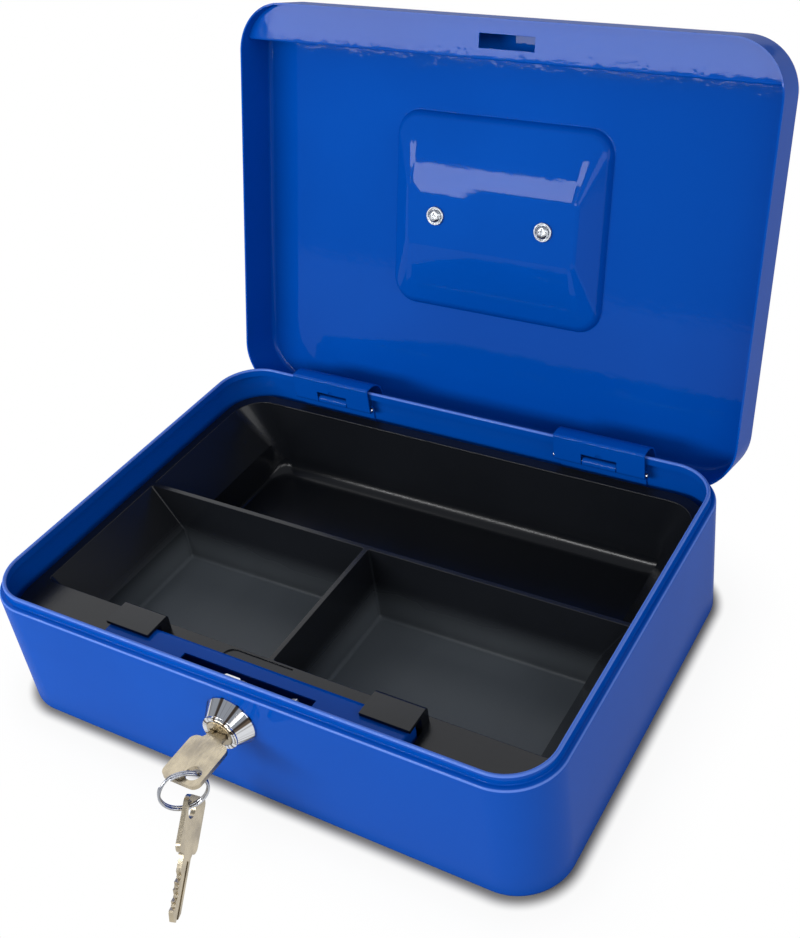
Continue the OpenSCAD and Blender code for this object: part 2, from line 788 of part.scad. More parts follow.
module cash_tray() {
    color(plastic) {
        difference() {
            union() {
                tray_flange_plate();
                tub(tray_t);
            }
            difference() {
                tub(0);
                tray_dividers();
            }
        }
        for (sx = [-1, 1]) tray_tab(sx * tab_x);
    }
}

// Stand-offs under the corners of the tray
module tray_feet() {
    top_z = tray_floor_z - tray_t - bond_gap;
    color(plastic)
        for (sx = [-1, 1], y = [knee_front_y + tray_foot_in, knee_rear_y - tray_foot_in - 6])
            translate([sx * (knee_x - tray_foot_in), y, sheet_t + seat_gap])
                cylinder(r = tray_foot_r, h = top_z - sheet_t - seat_gap);
}

case_shell();
lock_cover();
hinge_bracket(-hinge_x);  // hinge_bracket_left
hinge_bracket(hinge_x);  // hinge_bracket_right
hinge_pin(-hinge_x);  // hinge_pin_left
hinge_pin(hinge_x);  // hinge_pin_right
hinge_leaf(-hinge_x);  // hinge_leaf_left
hinge_leaf(hinge_x);  // hinge_leaf_right
lid_shell();
latch_strip();
handle_pivot(-1);  // handle_pivot_left
handle_pivot(1);  // handle_pivot_right
handle_screws();
handle_washers();
carry_handle();
lock_barrel();
lock_nut();
lock_plug();
latch_cam();
cam_nut();
key_in_lock();
key_ring();
spare_key();
cash_tray();
tray_feet();
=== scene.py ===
"""Looks for a steel cash box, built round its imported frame.

The scene, the finishes and the studio are in metres, and the pieces' own sizes in millimetres. The
origin is in the middle of the underside, +X right, +Y rear, +Z up. The lid stands open.
"""

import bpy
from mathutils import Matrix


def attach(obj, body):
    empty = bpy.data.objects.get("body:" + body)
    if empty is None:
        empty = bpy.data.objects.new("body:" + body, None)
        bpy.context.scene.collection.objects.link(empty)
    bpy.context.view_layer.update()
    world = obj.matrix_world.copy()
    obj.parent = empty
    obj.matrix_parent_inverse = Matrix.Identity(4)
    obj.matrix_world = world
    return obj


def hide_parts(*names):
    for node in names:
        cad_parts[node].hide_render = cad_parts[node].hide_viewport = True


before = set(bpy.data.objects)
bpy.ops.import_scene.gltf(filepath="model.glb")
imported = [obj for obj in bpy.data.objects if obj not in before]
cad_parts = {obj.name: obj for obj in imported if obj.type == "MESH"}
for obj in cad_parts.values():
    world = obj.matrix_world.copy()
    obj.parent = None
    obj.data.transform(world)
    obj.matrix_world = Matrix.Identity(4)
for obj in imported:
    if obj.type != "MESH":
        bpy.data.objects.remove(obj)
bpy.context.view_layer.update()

import logging
import math
from collections.abc import Callable, Sequence
from dataclasses import dataclass, field
from enum import Enum

import bmesh
import bpy
from mathutils import Matrix, Vector

log = logging.getLogger("cash_box")
MM = 0.001
# TINY tells whether two places are one. WELD is a finer span, for wire, rod and copied nodes.
TINY = 0.00002
WELD = 0.000002
RIGHT, REAR, UP = Vector((1, 0, 0)), Vector((0, 1, 0)), Vector((0, 0, 1))
FRONT, DOWN = Vector((0, -1, 0)), Vector((0, 0, -1))
Colour = tuple[float, float, float, float]
Test = Callable[[Vector], bool]


class Body(Enum):
    """The rigid bodies that pieces ride on."""

    CASE = "case"
    LID = "lid"
    HANDLE = "handle"
    PLUG = "plug"
    KEY = "key"
    RING = "ring"
    SPARE = "spare"
    TRAY = "tray"


class Pick(Enum):
    """The kind of element that a selection is made of."""

    VERT = "VERT"
    EDGE = "EDGE"
    FACE = "FACE"


class Cut(Enum):
    """What a tool does to the piece that it is used on."""

    AWAY = "DIFFERENCE"
    FUSE = "UNION"
    SHARED = "INTERSECT"


def mm(*values: float) -> Vector:
    """Turns three millimetre values into a vector in metres."""
    return Vector(values) * MM


def level(z: float) -> Test:
    """Returns a test for points that lie at one height."""
    return lambda p: abs(p.z - z) < TINY


def clear_selection() -> None:
    """Leaves edit mode and deselects every object."""
    if bpy.context.mode != "OBJECT":
        bpy.ops.object.mode_set(mode="OBJECT")
    bpy.ops.object.select_all(action="DESELECT")


class Shape:
    """A piece that is modelled with Blender's operators, first in edit mode and then with modifiers."""

    def __init__(self, name: str, obj: bpy.types.Object) -> None:
        """Takes over an object.

        Args:
            name: The piece's name.
            obj: The object that holds the mesh.
        """
        self.obj = obj
        self.obj.name = name
        self.obj.data.name = name
        self.tip = Vector((0, 0, 0))

    @classmethod
    def point(cls, name: str, at: Vector) -> "Shape":
        """Starts a line at one vertex.

        Args:
            name: The piece's name.
            at: The first point.

        Returns:
            The shape, in edit mode, with the vertex selected.
        """
        clear_selection()
        bpy.ops.mesh.primitive_plane_add(size=0.002)
        shape = cls(name, bpy.context.object).settle()
        bpy.ops.mesh.merge(type="CENTER")
        bpy.ops.transform.translate(value=at)
        shape.tip = at.copy()
        return shape

    @classmethod
    def block(cls, name: str, low: Vector, high: Vector) -> "Shape":
        """Adds a cuboid between two corners.

        Args:
            name: The piece's name.
            low: The lowest corner.
            high: The highest corner.

        Returns:
            The shape, in edit mode, all selected.
        """
        clear_selection()
        bpy.ops.mesh.primitive_cube_add(size=1, location=(low + high) / 2, scale=high - low)
        return cls(name, bpy.context.object).settle()

    @classmethod
    def rod(cls, name: str, radius: float, start: Vector, end: Vector, sides: int = 48) -> "Shape":
        """Adds a cylinder between two points.

        Args:
            name: The piece's name.
            radius: The cylinder's radius.
            start: The middle of one end.
            end: The middle of the other end.
            sides: The number of sides.

        Returns:
            The shape, in edit mode, all selected.
        """
        clear_selection()
        run = end - start
        bpy.ops.mesh.primitive_cylinder_add(
            vertices=sides, radius=radius, depth=run.length, location=(start + end) / 2,
            rotation=run.to_track_quat("Z", "Y").to_euler())
        return cls(name, bpy.context.object).settle()

    @classmethod
    def panel(cls, name: str, middle: Vector, width: float, depth: float, radius: float,
              steps: int = 16) -> "Shape":
        """Adds a level face with round corners.

        Args:
            name: The piece's name.
            middle: The face's middle.
            width: Its size along X.
            depth: Its size along Y.
            radius: The radius of its corners.
            steps: The number of steps in each corner.

        Returns:
            The shape, in edit mode, all selected.
        """
        clear_selection()
        bpy.ops.mesh.primitive_plane_add(size=1, location=middle)
        bpy.context.object.scale = (width, depth, 1)
        shape = cls(name, bpy.context.object).settle()
        bpy.ops.mesh.bevel(offset=radius, segments=steps, affect="VERTICES", clamp_overlap=False)
        return shape

    @classmethod
    def ring(cls, name: str, middle: Vector, width: float, depth: float, radius: float,
             steps: int = 20) -> "Shape":
        """Adds the outline of a panel, without its face; the arguments are the panel's."""
        shape = cls.panel(name, middle, width, depth, radius, steps)
        bpy.ops.mesh.delete(type="ONLY_FACE")
        bpy.ops.mesh.select_all(action="SELECT")
        return shape

    @classmethod
    def copy_of(cls, node: str, name: str, ease: float, angle: float = 30) -> "Shape":
        """Copies a node of the frame as one clean surface with eased edges.

        Args:
            node: The frame's node.
            name: The piece's name.
            ease: The width of the easing.
            angle: The sharpness from which an edge is eased, in degrees.

        Returns:
            The shape, in object mode.
        """
        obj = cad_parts[node].copy()
        obj.data = obj.data.copy()
        for key in list(obj.keys()):
            del obj[key]
        obj.parent = None
        obj.hide_render = obj.hide_viewport = False
        bpy.context.scene.collection.objects.link(obj)
        shape = cls(name, obj).select()
        bpy.ops.mesh.customdata_custom_splitnormals_clear()
        shape.edit()
        bpy.ops.mesh.remove_doubles(threshold=WELD)
        bpy.ops.mesh.dissolve_limited(angle_limit=math.radians(0.5))
        return shape.ease(ease, angle=angle)

    @classmethod
    def lathe(cls, name: str, points: Sequence[Vector], centre: Vector, axis: Vector,
              steps: int) -> "Shape":
        """Turns a profile once round an axis.

        Args:
            name: The piece's name.
            points: The profile's points.
            centre: A point on the axis.
            axis: The axis.
            steps: The number of steps in the turn.

        Returns:
            The turned shape, in edit mode.
        """
        shape = cls.point(name, points[0]).to(*points[1:])
        bpy.ops.mesh.select_all(action="SELECT")
        return shape.turn(centre, axis, 360, steps).merge()

    def select(self) -> "Shape":
        """Leaves edit mode and makes this piece the only selected one."""
        clear_selection()
        self.obj.select_set(True)
        bpy.context.view_layer.objects.active = self.obj
        return self

    def edit(self) -> "Shape":
        """Enters edit mode with everything selected."""
        bpy.ops.object.mode_set(mode="EDIT")
        bpy.ops.mesh.select_all(action="SELECT")
        return self

    def settle(self) -> "Shape":
        """Puts the object's place into its mesh and enters edit mode with everything selected."""
        bpy.ops.object.transform_apply(location=True, rotation=True, scale=True)
        bpy.ops.object.mode_set(mode="EDIT")
        bpy.ops.mesh.select_mode(type="VERT")
        bpy.ops.mesh.select_all(action="SELECT")
        return self

    def to(self, *points: Vector) -> "Shape":
        """Draws straight lines from the tip to further points."""
        for point in points:
            bpy.ops.mesh.extrude_region_move(TRANSFORM_OT_translate={"value": point - self.tip})
            self.tip = point.copy()
        return self

    def turn(self, centre: Vector, axis: Vector, degrees: float, steps: int) -> "Shape":
        """Spins the selection round an axis by the right-hand rule, leaving a surface behind it.

        Args:
            centre: A point on the axis.
            axis: The axis.
            degrees: The angle.
            steps: The number of steps.

        Returns:
            The shape itself.
        """
        bpy.ops.mesh.spin(steps=steps, angle=-math.radians(degrees), center=centre, axis=axis)
        spun = Matrix.Rotation(math.radians(degrees), 4, axis)
        self.tip = centre + spun @ (self.tip - centre)
        return self

    def push(self, run: Vector) -> "Shape":
        """Extrudes the selection by a distance."""
        bpy.ops.mesh.extrude_region_move(TRANSFORM_OT_translate={"value": run})
        self.tip = self.tip + run
        return self

    def prism(self, run: Vector) -> "Shape":
        """Fills the drawn outline with a face and pushes it out into a solid."""
        bpy.ops.mesh.select_all(action="SELECT")
        bpy.ops.mesh.edge_face_add()
        return self.push(run).merge()

    def corners(self, z: float, *rows: Sequence[float]) -> "Shape":
        """Draws level corners, each with the straight run after it.

        Args:
            z: The height.
            *rows: For each corner its centre's X and Y, its angle in degrees, its number of steps, and
                the X and Y where the run after it ends.

        Returns:
            The outline, merged.
        """
        for cx, cy, degrees, steps, x, y in rows:
            self.turn(mm(cx, cy, z), UP, degrees, steps).to(mm(x, y, z))
        return self.merge()

    def around(self, width: float, depth: float, radius: float, steps: int = 20) -> "Shape":
        """Sweeps the selected section round a rectangle with round corners.

        The section starts at the front end of the right side.

        Args:
            width: The rectangle's size along X.
            depth: Its size along Y.
            radius: The corners' radius.
            steps: The number of steps in each corner.

        Returns:
            The shape itself.
        """
        x, y = width / 2 - radius, depth / 2 - radius
        sides = ((0, 2 * y, x, y), (-2 * x, 0, -x, y), (0, -2 * y, -x, -y), (2 * x, 0, x, -y))
        bpy.ops.mesh.select_all(action="SELECT")
        for run_x, run_y, cx, cy in sides:
            self.push(Vector((run_x, run_y, 0))).turn(Vector((cx, cy, 0)), UP, 90, steps)
        return self.merge()

    def pick(self, test: Test, kind: Pick = Pick.VERT) -> None:
        """Selects the vertices, the faces by their middle or the edges by both ends that pass a test."""
        bpy.ops.mesh.select_mode(type=kind.value)
        bpy.ops.mesh.select_all(action="DESELECT")
        mesh = bmesh.from_edit_mesh(self.obj.data)
        if kind is Pick.VERT:
            chosen = [v for v in mesh.verts if test(v.co)]
        elif kind is Pick.EDGE:
            chosen = [e for e in mesh.edges if test(e.verts[0].co) and test(e.verts[1].co)]
        else:
            chosen = [f for f in mesh.faces if test(f.calc_center_median())]
        for element in chosen:
            element.select_set(True)
        mesh.select_flush_mode()
        bmesh.update_edit_mesh(self.obj.data)

    def fill(self, *holes: "Shape") -> "Shape":
        """Fills an outline round the holes in it, all drawn as bare lines, and leaves edit mode on."""
        self.join(*holes).edit()
        bpy.ops.mesh.fill(use_beauty=True)
        return self

    def widen(self, middle: Vector, by: float, width: float, depth: float) -> "Shape":
        """Scales the selection so that a rectangle about a middle grows by a margin on each side."""
        bpy.ops.transform.resize(value=(1 + 2 * by / width, 1 + 2 * by / depth, 1), center_override=middle)
        return self

    def merge(self, span: float = TINY) -> "Shape":
        """Joins vertices that lie in one place and turns all faces outwards."""
        bpy.ops.mesh.select_mode(type="VERT")
        bpy.ops.mesh.select_all(action="SELECT")
        bpy.ops.mesh.remove_doubles(threshold=span)
        bpy.ops.mesh.normals_make_consistent(inside=False)
        return self

    def face(self, way: Vector) -> "Shape":
        """Turns an open skin over unless more of it faces a given way than not."""
        mesh = bmesh.from_edit_mesh(self.obj.data)
        mesh.normal_update()
        if sum(f.calc_area() * f.normal.dot(way) for f in mesh.faces) < 0:
            bpy.ops.mesh.select_all(action="SELECT")
            bpy.ops.mesh.flip_normals()
        return self

    def close(self, test: Test) -> "Shape":
        """Fills the loop of vertices that passes a test with one face."""
        self.pick(test)
        bpy.ops.mesh.edge_face_add()
        return self

    def bridge(self, first: Test, second: Test) -> "Shape":
        """Joins two loops of edges, each told by its own test, with a band of faces."""
        self.pick(lambda p: first(p) or second(p), Pick.EDGE)
        bpy.ops.mesh.bridge_edge_loops()
        return self

    def round_edges(self, test: Test, width: float, steps: int = 4) -> "Shape":
        """Rounds the edges, sharper than 15 degrees, whose two ends pass a test."""
        self.pick(test, Pick.EDGE)
        mesh = bmesh.from_edit_mesh(self.obj.data)
        for edge in mesh.edges:
            if edge.select and edge.calc_face_angle(0.0) < math.radians(15):
                edge.select_set(False)
        bmesh.update_edit_mesh(self.obj.data)
        bpy.ops.mesh.bevel(offset=width, segments=steps, affect="EDGES", clamp_overlap=False)
        return self

    def modify(self, kind: str, **settings: object) -> "Shape":
        """Adds a modifier with its settings and applies it.

        Args:
            kind: The modifier's type.
            **settings: Its properties.

        Returns:
            The shape itself, in object mode.
        """
        self.select()
        modifier = self.obj.modifiers.new(kind.title(), kind)
        for key, value in settings.items():
            setattr(modifier, key, value)
        bpy.ops.object.modifier_apply(modifier=modifier.name)
        return self

    def thicken(self, thickness: float) -> "Shape":
        """Gives a skin its sheet's thickness, on the side that it faces away from."""
        return self.modify("SOLIDIFY", thickness=thickness, offset=-1.0, use_even_offset=True,
                           use_quality_normals=True)

    def ease(self, width: float, steps: int = 2, angle: float = 40) -> "Shape":
        """Rounds every edge that is sharper than an angle in degrees."""
        return self.modify("BEVEL", width=width, segments=steps, limit_method="ANGLE",
                           angle_limit=math.radians(angle), use_clamp_overlap=True)

    def cut(self, *tools: "Shape", operation: Cut = Cut.AWAY) -> "Shape":
        """Cuts other shapes out of this one, fuses them to it or keeps what they share."""
        for tool in tools:
            self.modify("BOOLEAN", object=tool.obj, operation=operation.value, solver="EXACT")
            bpy.data.objects.remove(tool.obj)
        return self

    def join(self, *others: "Shape") -> "Shape":
        """Joins other shapes into this one's mesh."""
        self.select()
        for other in others:
            other.obj.select_set(True)
        bpy.ops.object.join()
        return self

    def place(self, matrix: Matrix) -> "Shape":
        """Moves the mesh by a matrix and leaves the object at the origin."""
        self.select()
        self.obj.matrix_world = matrix
        bpy.context.view_layer.update()
        bpy.ops.object.transform_apply(location=True, rotation=True, scale=True)
        return self

    def finish(self, body: Body, finish: "Finish", *nodes: str, angle: float = 35) -> bpy.types.Object:
        """Smooths, dresses and attaches the piece.

        Args:
            body: The body that it rides on.
            finish: Its material's maker.
            *nodes: The frame's nodes that it stands for.
            angle: The sharpness up to which faces are shaded as one, in degrees.

        Returns:
            The finished object.
        """
        self.select()
        bpy.ops.object.shade_smooth_by_angle(angle=math.radians(angle))
        self.modify("WEIGHTED_NORMAL", mode="FACE_AREA", weight=60, keep_sharp=True)
        self.obj.data.materials.clear()
        self.obj.data.materials.append(finish.material())
        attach(self.obj, body.value)
        if nodes:
            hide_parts(*nodes)
        log.info("%s: %d faces on %s", self.obj.name, len(self.obj.data.polygons), body.value)
        return self.obj


class Wire:
    """A shader's output socket that takes part in Python expressions."""

    def __init__(self, sheet: "Sheet", socket: bpy.types.NodeSocket) -> None:
        """Wraps an output socket of a sheet."""
        self.sheet = sheet
        self.socket = socket

    def _math(self, operation: str, *values: object) -> "Wire":
        """Adds a Math node."""
        return self.sheet.node("ShaderNodeMath", {"operation": operation}, *values)

    def __add__(self, other: object) -> "Wire":
        """self + other."""
        return self._math("ADD", self, other)

    def __radd__(self, other: object) -> "Wire":
        """other + self."""
        return self._math("ADD", other, self)

    def __sub__(self, other: object) -> "Wire":
        """self - other."""
        return self._math("SUBTRACT", self, other)

    def __rsub__(self, other: object) -> "Wire":
        """other - self."""
        return self._math("SUBTRACT", other, self)

    def __mul__(self, other: object) -> "Wire":
        """self * other."""
        return self._math("MULTIPLY", self, other)

    def __rmul__(self, other: object) -> "Wire":
        """other * self."""
        return self._math("MULTIPLY", other, self)

    def ramp(self, low: float, high: float, start: float = 0.0, end: float = 1.0) -> "Wire":
        """Maps low..high smoothly to start..end and holds it there outside."""
        return self.sheet.node("ShaderNodeMapRange", {"interpolation_type": "SMOOTHSTEP"},
                               self, low, high, start, end)


class Sheet:
    """The node tree of one material."""

    def __init__(self, name: str) -> None:
        """Makes a material with an empty node tree."""
        self.material = bpy.data.materials.new(name)
        self.material.use_nodes = True
        self.tree = self.material.node_tree
        self.tree.nodes.clear()

    def _feed(self, socket: bpy.types.NodeSocket, value: object) -> None:
        """Links a wire to a socket or sets its value; None leaves the socket as it is."""
        if isinstance(value, Wire):
            self.tree.links.new(value.socket, socket)
        elif value is not None:
            socket.default_value = value

    def node(self, kind: str, settings: dict[str, object] | None = None, *values: object,
             out: int | str = 0, **named: object) -> Wire:
        """Adds a node.

        Args:
            kind: The node's type.
            settings: Its own properties, set before its sockets.
            *values: Values or wires for its first sockets, in order.
            out: The output to return.
            **named: Values or wires for sockets by name, with _ for a space.

        Returns:
            The chosen output.
        """
        made = self.tree.nodes.new(kind)
        for key, value in (settings or {}).items():
            setattr(made, key, value)
        for socket, value in zip(made.inputs, values):
            self._feed(socket, value)
        for key, value in named.items():
            self._feed(made.inputs[key.replace("_", " ")], value)
        return Wire(self, made.outputs[out])

    def place(self, scale: Sequence[float] = (1, 1, 1)) -> Wire:
        """Returns the object coordinates, stretched by a scale."""
        spot = self.node("ShaderNodeTexCoord", out="Object")
        return self.node("ShaderNodeMapping", {}, Vector=spot, Scale=scale)

    def axes(self) -> list[Wire]:
        """Returns the three object coordinates, in metres."""
        return [self.node("ShaderNodeSeparateXYZ", {}, self.place(), out=axis) for axis in range(3)]

    def noise(self, scale: float, detail: float = 2.0, stretch: Sequence[float] = (1, 1, 1)) -> Wire:
        """Returns a noise of so many waves to the metre, from about 0.25 to 0.75."""
        return self.node("ShaderNodeTexNoise", {}, Vector=self.place(stretch), Scale=scale, Detail=detail)

    def mix(self, share: object, first: object, second: object) -> Wire:
        """Mixes two colours."""
        made = self.tree.nodes.new("ShaderNodeMix")
        made.data_type = "RGBA"
        for index, value in ((0, share), (6, first), (7, second)):
            self._feed(made.inputs[index], value)
        return Wire(self, made.outputs[2])

    def bump(self, height: Wire, strength: float, distance: float, under: Wire | None = None) -> Wire:
        """Returns normals bent by a height field."""
        return self.node("ShaderNodeBump", {}, Strength=strength, Distance=distance, Height=height,
                         Normal=under)

    def principled(self, **sockets: object) -> bpy.types.Material:
        """Ends the tree with a Principled shader, given its sockets, and returns the material."""
        return self.surface(self.node("ShaderNodeBsdfPrincipled", **sockets))

    def surface(self, shader: Wire) -> bpy.types.Material:
        """Links the shader to the output and returns the material."""
        end = self.tree.nodes.new("ShaderNodeOutputMaterial")
        self.tree.links.new(shader.socket, end.inputs["Surface"])
        return self.material


def tone(red: int, green: int, blue: int) -> Colour:
    """Turns a display colour, 0 to 255 each, into the linear colour that a shader takes."""
    parts = [c / 255 for c in (red, green, blue)]
    linear = [c / 12.92 if c <= 0.04045 else ((c + 0.055) / 1.055) ** 2.4 for c in parts]
    return (*linear, 1.0)


@dataclass(frozen=True)
class Finish:
    """A surface finish that pieces share."""

    name: str
    slot: str

    def material(self) -> bpy.types.Material:
        """Returns the finish's material, made the first time that it is asked for."""
        known = bpy.data.materials.get(self.name)
        return known if known else self.build(Sheet(self.name))

    def build(self, sheet: Sheet) -> bpy.types.Material:
        """Builds the node tree; each finish has its own."""
        raise NotImplementedError(self.name)


@dataclass(frozen=True)
class PowderCoat(Finish):
    """Glossy blue powder coat with a fine orange peel, and pale painted highlight lines along the crests of
    edges where asked.
    """

    colour: Colour = tone(2, 77, 174)
    deep: Colour = tone(1, 72, 166)
    # The pale blue that is painted along the crests as a highlight.
    painted_highlight: Colour = tone(104, 138, 222)
    # Each crest of painted highlight: the heights, in metres, where its pale band starts, is full, begins
    # to fade and ends.
    crests: tuple[tuple[float, float, float, float], ...] = ()

    def build(self, sheet: Sheet) -> bpy.types.Material:
        """Builds paint under a clear, slightly wavy gloss, with a painted highlight that makes it paler
        along the crests of its edges.
        """
        cloud = sheet.noise(9, 3)
        peel = sheet.noise(420, 2)
        wave = sheet.noise(110, 1)
        coat = sheet.bump(peel * 0.6 + wave, 0.05, 0.0006)
        colour = sheet.mix(cloud.ramp(0.3, 0.7), self.colour, self.deep)
        for start, full, fade, end in self.crests:
            height = sheet.axes()[2]
            share = height.ramp(start, full) * height.ramp(fade, end, 0.75, 0.0)
            colour = sheet.mix(share, colour, self.painted_highlight)
        return sheet.principled(
            Base_Color=colour, Roughness=cloud.ramp(0.3, 0.7, 0.4, 0.46), Specular_IOR_Level=0.0,
            Coat_Weight=0.19, Coat_Roughness=0.03, Normal=coat, Coat_Normal=coat)


@dataclass(frozen=True)
class TrayPlastic(Finish):
    """Satin black moulded plastic, with painted light that makes the front compartments' floors pale, and a
    rougher finish there.
    """

    colour: Colour = tone(22, 24, 28)
    deep: Colour = tone(19, 21, 25)
    # The pale grey painted onto the front compartments' floors as the light that falls there.
    painted_floor_light: Colour = tone(96, 102, 107)
    # The painted light on the front compartments' floors fades out over these heights and depths, in
    # metres.
    floor_light_z: tuple[float, float] = (0.012, 0.030)
    floor_light_y: tuple[float, float] = (0.003, 0.008)

    def build(self, sheet: Sheet) -> bpy.types.Material:
        """Builds a dark plastic with a fine grain, faint flow marks and pale painted light on the front
        floors.
        """
        grain = sheet.noise(1900, 2)
        flow = sheet.noise(26, 3, (1, 0.35, 1))
        _, y, z = sheet.axes()
        # Painted light: low down and in front of the cross divider the colour turns pale and the plastic
        # rougher.
        lit_floor = z.ramp(*self.floor_light_z, 1.0, 0.0) * y.ramp(*self.floor_light_y, 1.0, 0.0)
        plain = sheet.mix(flow.ramp(0.35, 0.7), self.colour, self.deep)
        return sheet.principled(
            Base_Color=sheet.mix(lit_floor * flow.ramp(0.3, 0.7, 0.85, 1.0), plain, self.painted_floor_light),
            Roughness=lit_floor * 0.3 + flow.ramp(0.3, 0.7, 0.18, 0.26), Specular_IOR_Level=0.32,
            Normal=sheet.bump(grain, 0.12, 0.0002, sheet.bump(flow, 0.1, 0.0006)))


@dataclass(frozen=True)
class Plating(Finish):
    """Bright plated metal, polished or lightly brushed."""

    colour: Colour = tone(214, 216, 220)
    # The tone of the darker clouds; on the bezel, the dark of painted reflection streaks.
    dull_and_reflection: Colour = tone(190, 192, 198)
    rough: float = 0.12
    spread: float = 0.1
    brush: tuple[float, float, float] = (1.0, 1.0, 1.0)
    grain: float = 300.0
    depth: float = 0.05
    # The height of the axis that the painted reflection streaks, dark and light, run round; at 0 there are
    # clouds in their place.
    axis_z: float = 0.0
    span: tuple[float, float] = (0.35, 0.7)

    def build(self, sheet: Sheet) -> bpy.types.Material:
        """Builds metal with fine scratches and darker clouds, or with painted reflection streaks round an
        axis.
        """
        scratch = sheet.noise(self.grain, 4, self.brush)
        cloud = sheet.noise(120, 3)
        streak = cloud
        # Painted reflection: streaks of darker colour run round the axis, as reflections do in a turned
        # part.
        if self.axis_z:
            x, _, z = sheet.axes()
            angle = sheet.node("ShaderNodeMath", {"operation": "ARCTAN2"}, z - self.axis_z, x)
            spot = sheet.node("ShaderNodeCombineXYZ", {}, angle, 0.0, 0.0)
            streak = sheet.node("ShaderNodeTexNoise", {}, Vector=spot, Scale=3.4, Detail=2.0)
        return sheet.principled(
            Base_Color=sheet.mix(streak.ramp(*self.span), self.colour, self.dull_and_reflection), Metallic=1.0,
            Roughness=(scratch * 0.6 + cloud * 0.4).ramp(0.3, 0.7, self.rough, self.rough + self.spread),
            Normal=sheet.bump(scratch, self.depth, 0.0002))


PAINT = PowderCoat("blue_powder_coat", "paint")
# The case's paint, with painted highlight lines along the shoulder's rounded edge and along the top of the
# hem.
HIGHLIT_RIM_PAINT = PowderCoat("blue_powder_coat_rim_highlit", "paint",
                       crests=((0.0563, 0.0567, 0.0570, 0.0573), (0.0606, 0.0610, 0.0614, 0.0616)))
PLASTIC = TrayPlastic("black_tray_plastic", "tray_plastic")
CHROME = Plating("polished_chrome", "chrome", rough=0.05, spread=0.05, depth=0.02)
# The bezel's chrome, with dark painted reflection streaks round the lock's axis.
TURNED = Plating("turned_chrome", "chrome", dull_and_reflection=tone(96, 84, 74), rough=0.05, spread=0.05, depth=0.02,
                 axis_z=0.042, span=(0.48, 0.58))
ZINC = Plating("bright_zinc", "zinc_steel", colour=tone(205, 208, 212), dull_and_reflection=tone(172, 176, 184),
               rough=0.2, spread=0.16, grain=900)
NICKEL = Plating("nickel_silver", "nickel", colour=tone(190, 178, 154), dull_and_reflection=tone(162, 152, 134),
                 rough=0.2, spread=0.18, brush=(12, 1, 12), grain=260, depth=0.12)
WIRE = Plating("spring_wire", "chrome", colour=tone(188, 190, 196), dull_and_reflection=tone(150, 154, 162),
               rough=0.14, spread=0.1, grain=1500)


@dataclass
class Hinging:
    """The hinge axis and how far the lid stands open; shared by all that the lid carries."""

    axis_y: float = 86.9
    axis_z: float = 52.0
    open_degrees: float = 106.0

    def stand(self) -> Matrix:
        """Returns the move from the closed lid to the open one."""
        centre = Matrix.Translation(mm(0, self.axis_y, self.axis_z))
        return centre @ Matrix.Rotation(-math.radians(self.open_degrees), 4, "X") @ centre.inverted()

    def spot(self, x: float, u: float, v: float) -> Vector:
        """Returns a point by its distances behind and above the hinge axis."""
        return mm(x, self.axis_y + u, self.axis_z + v)


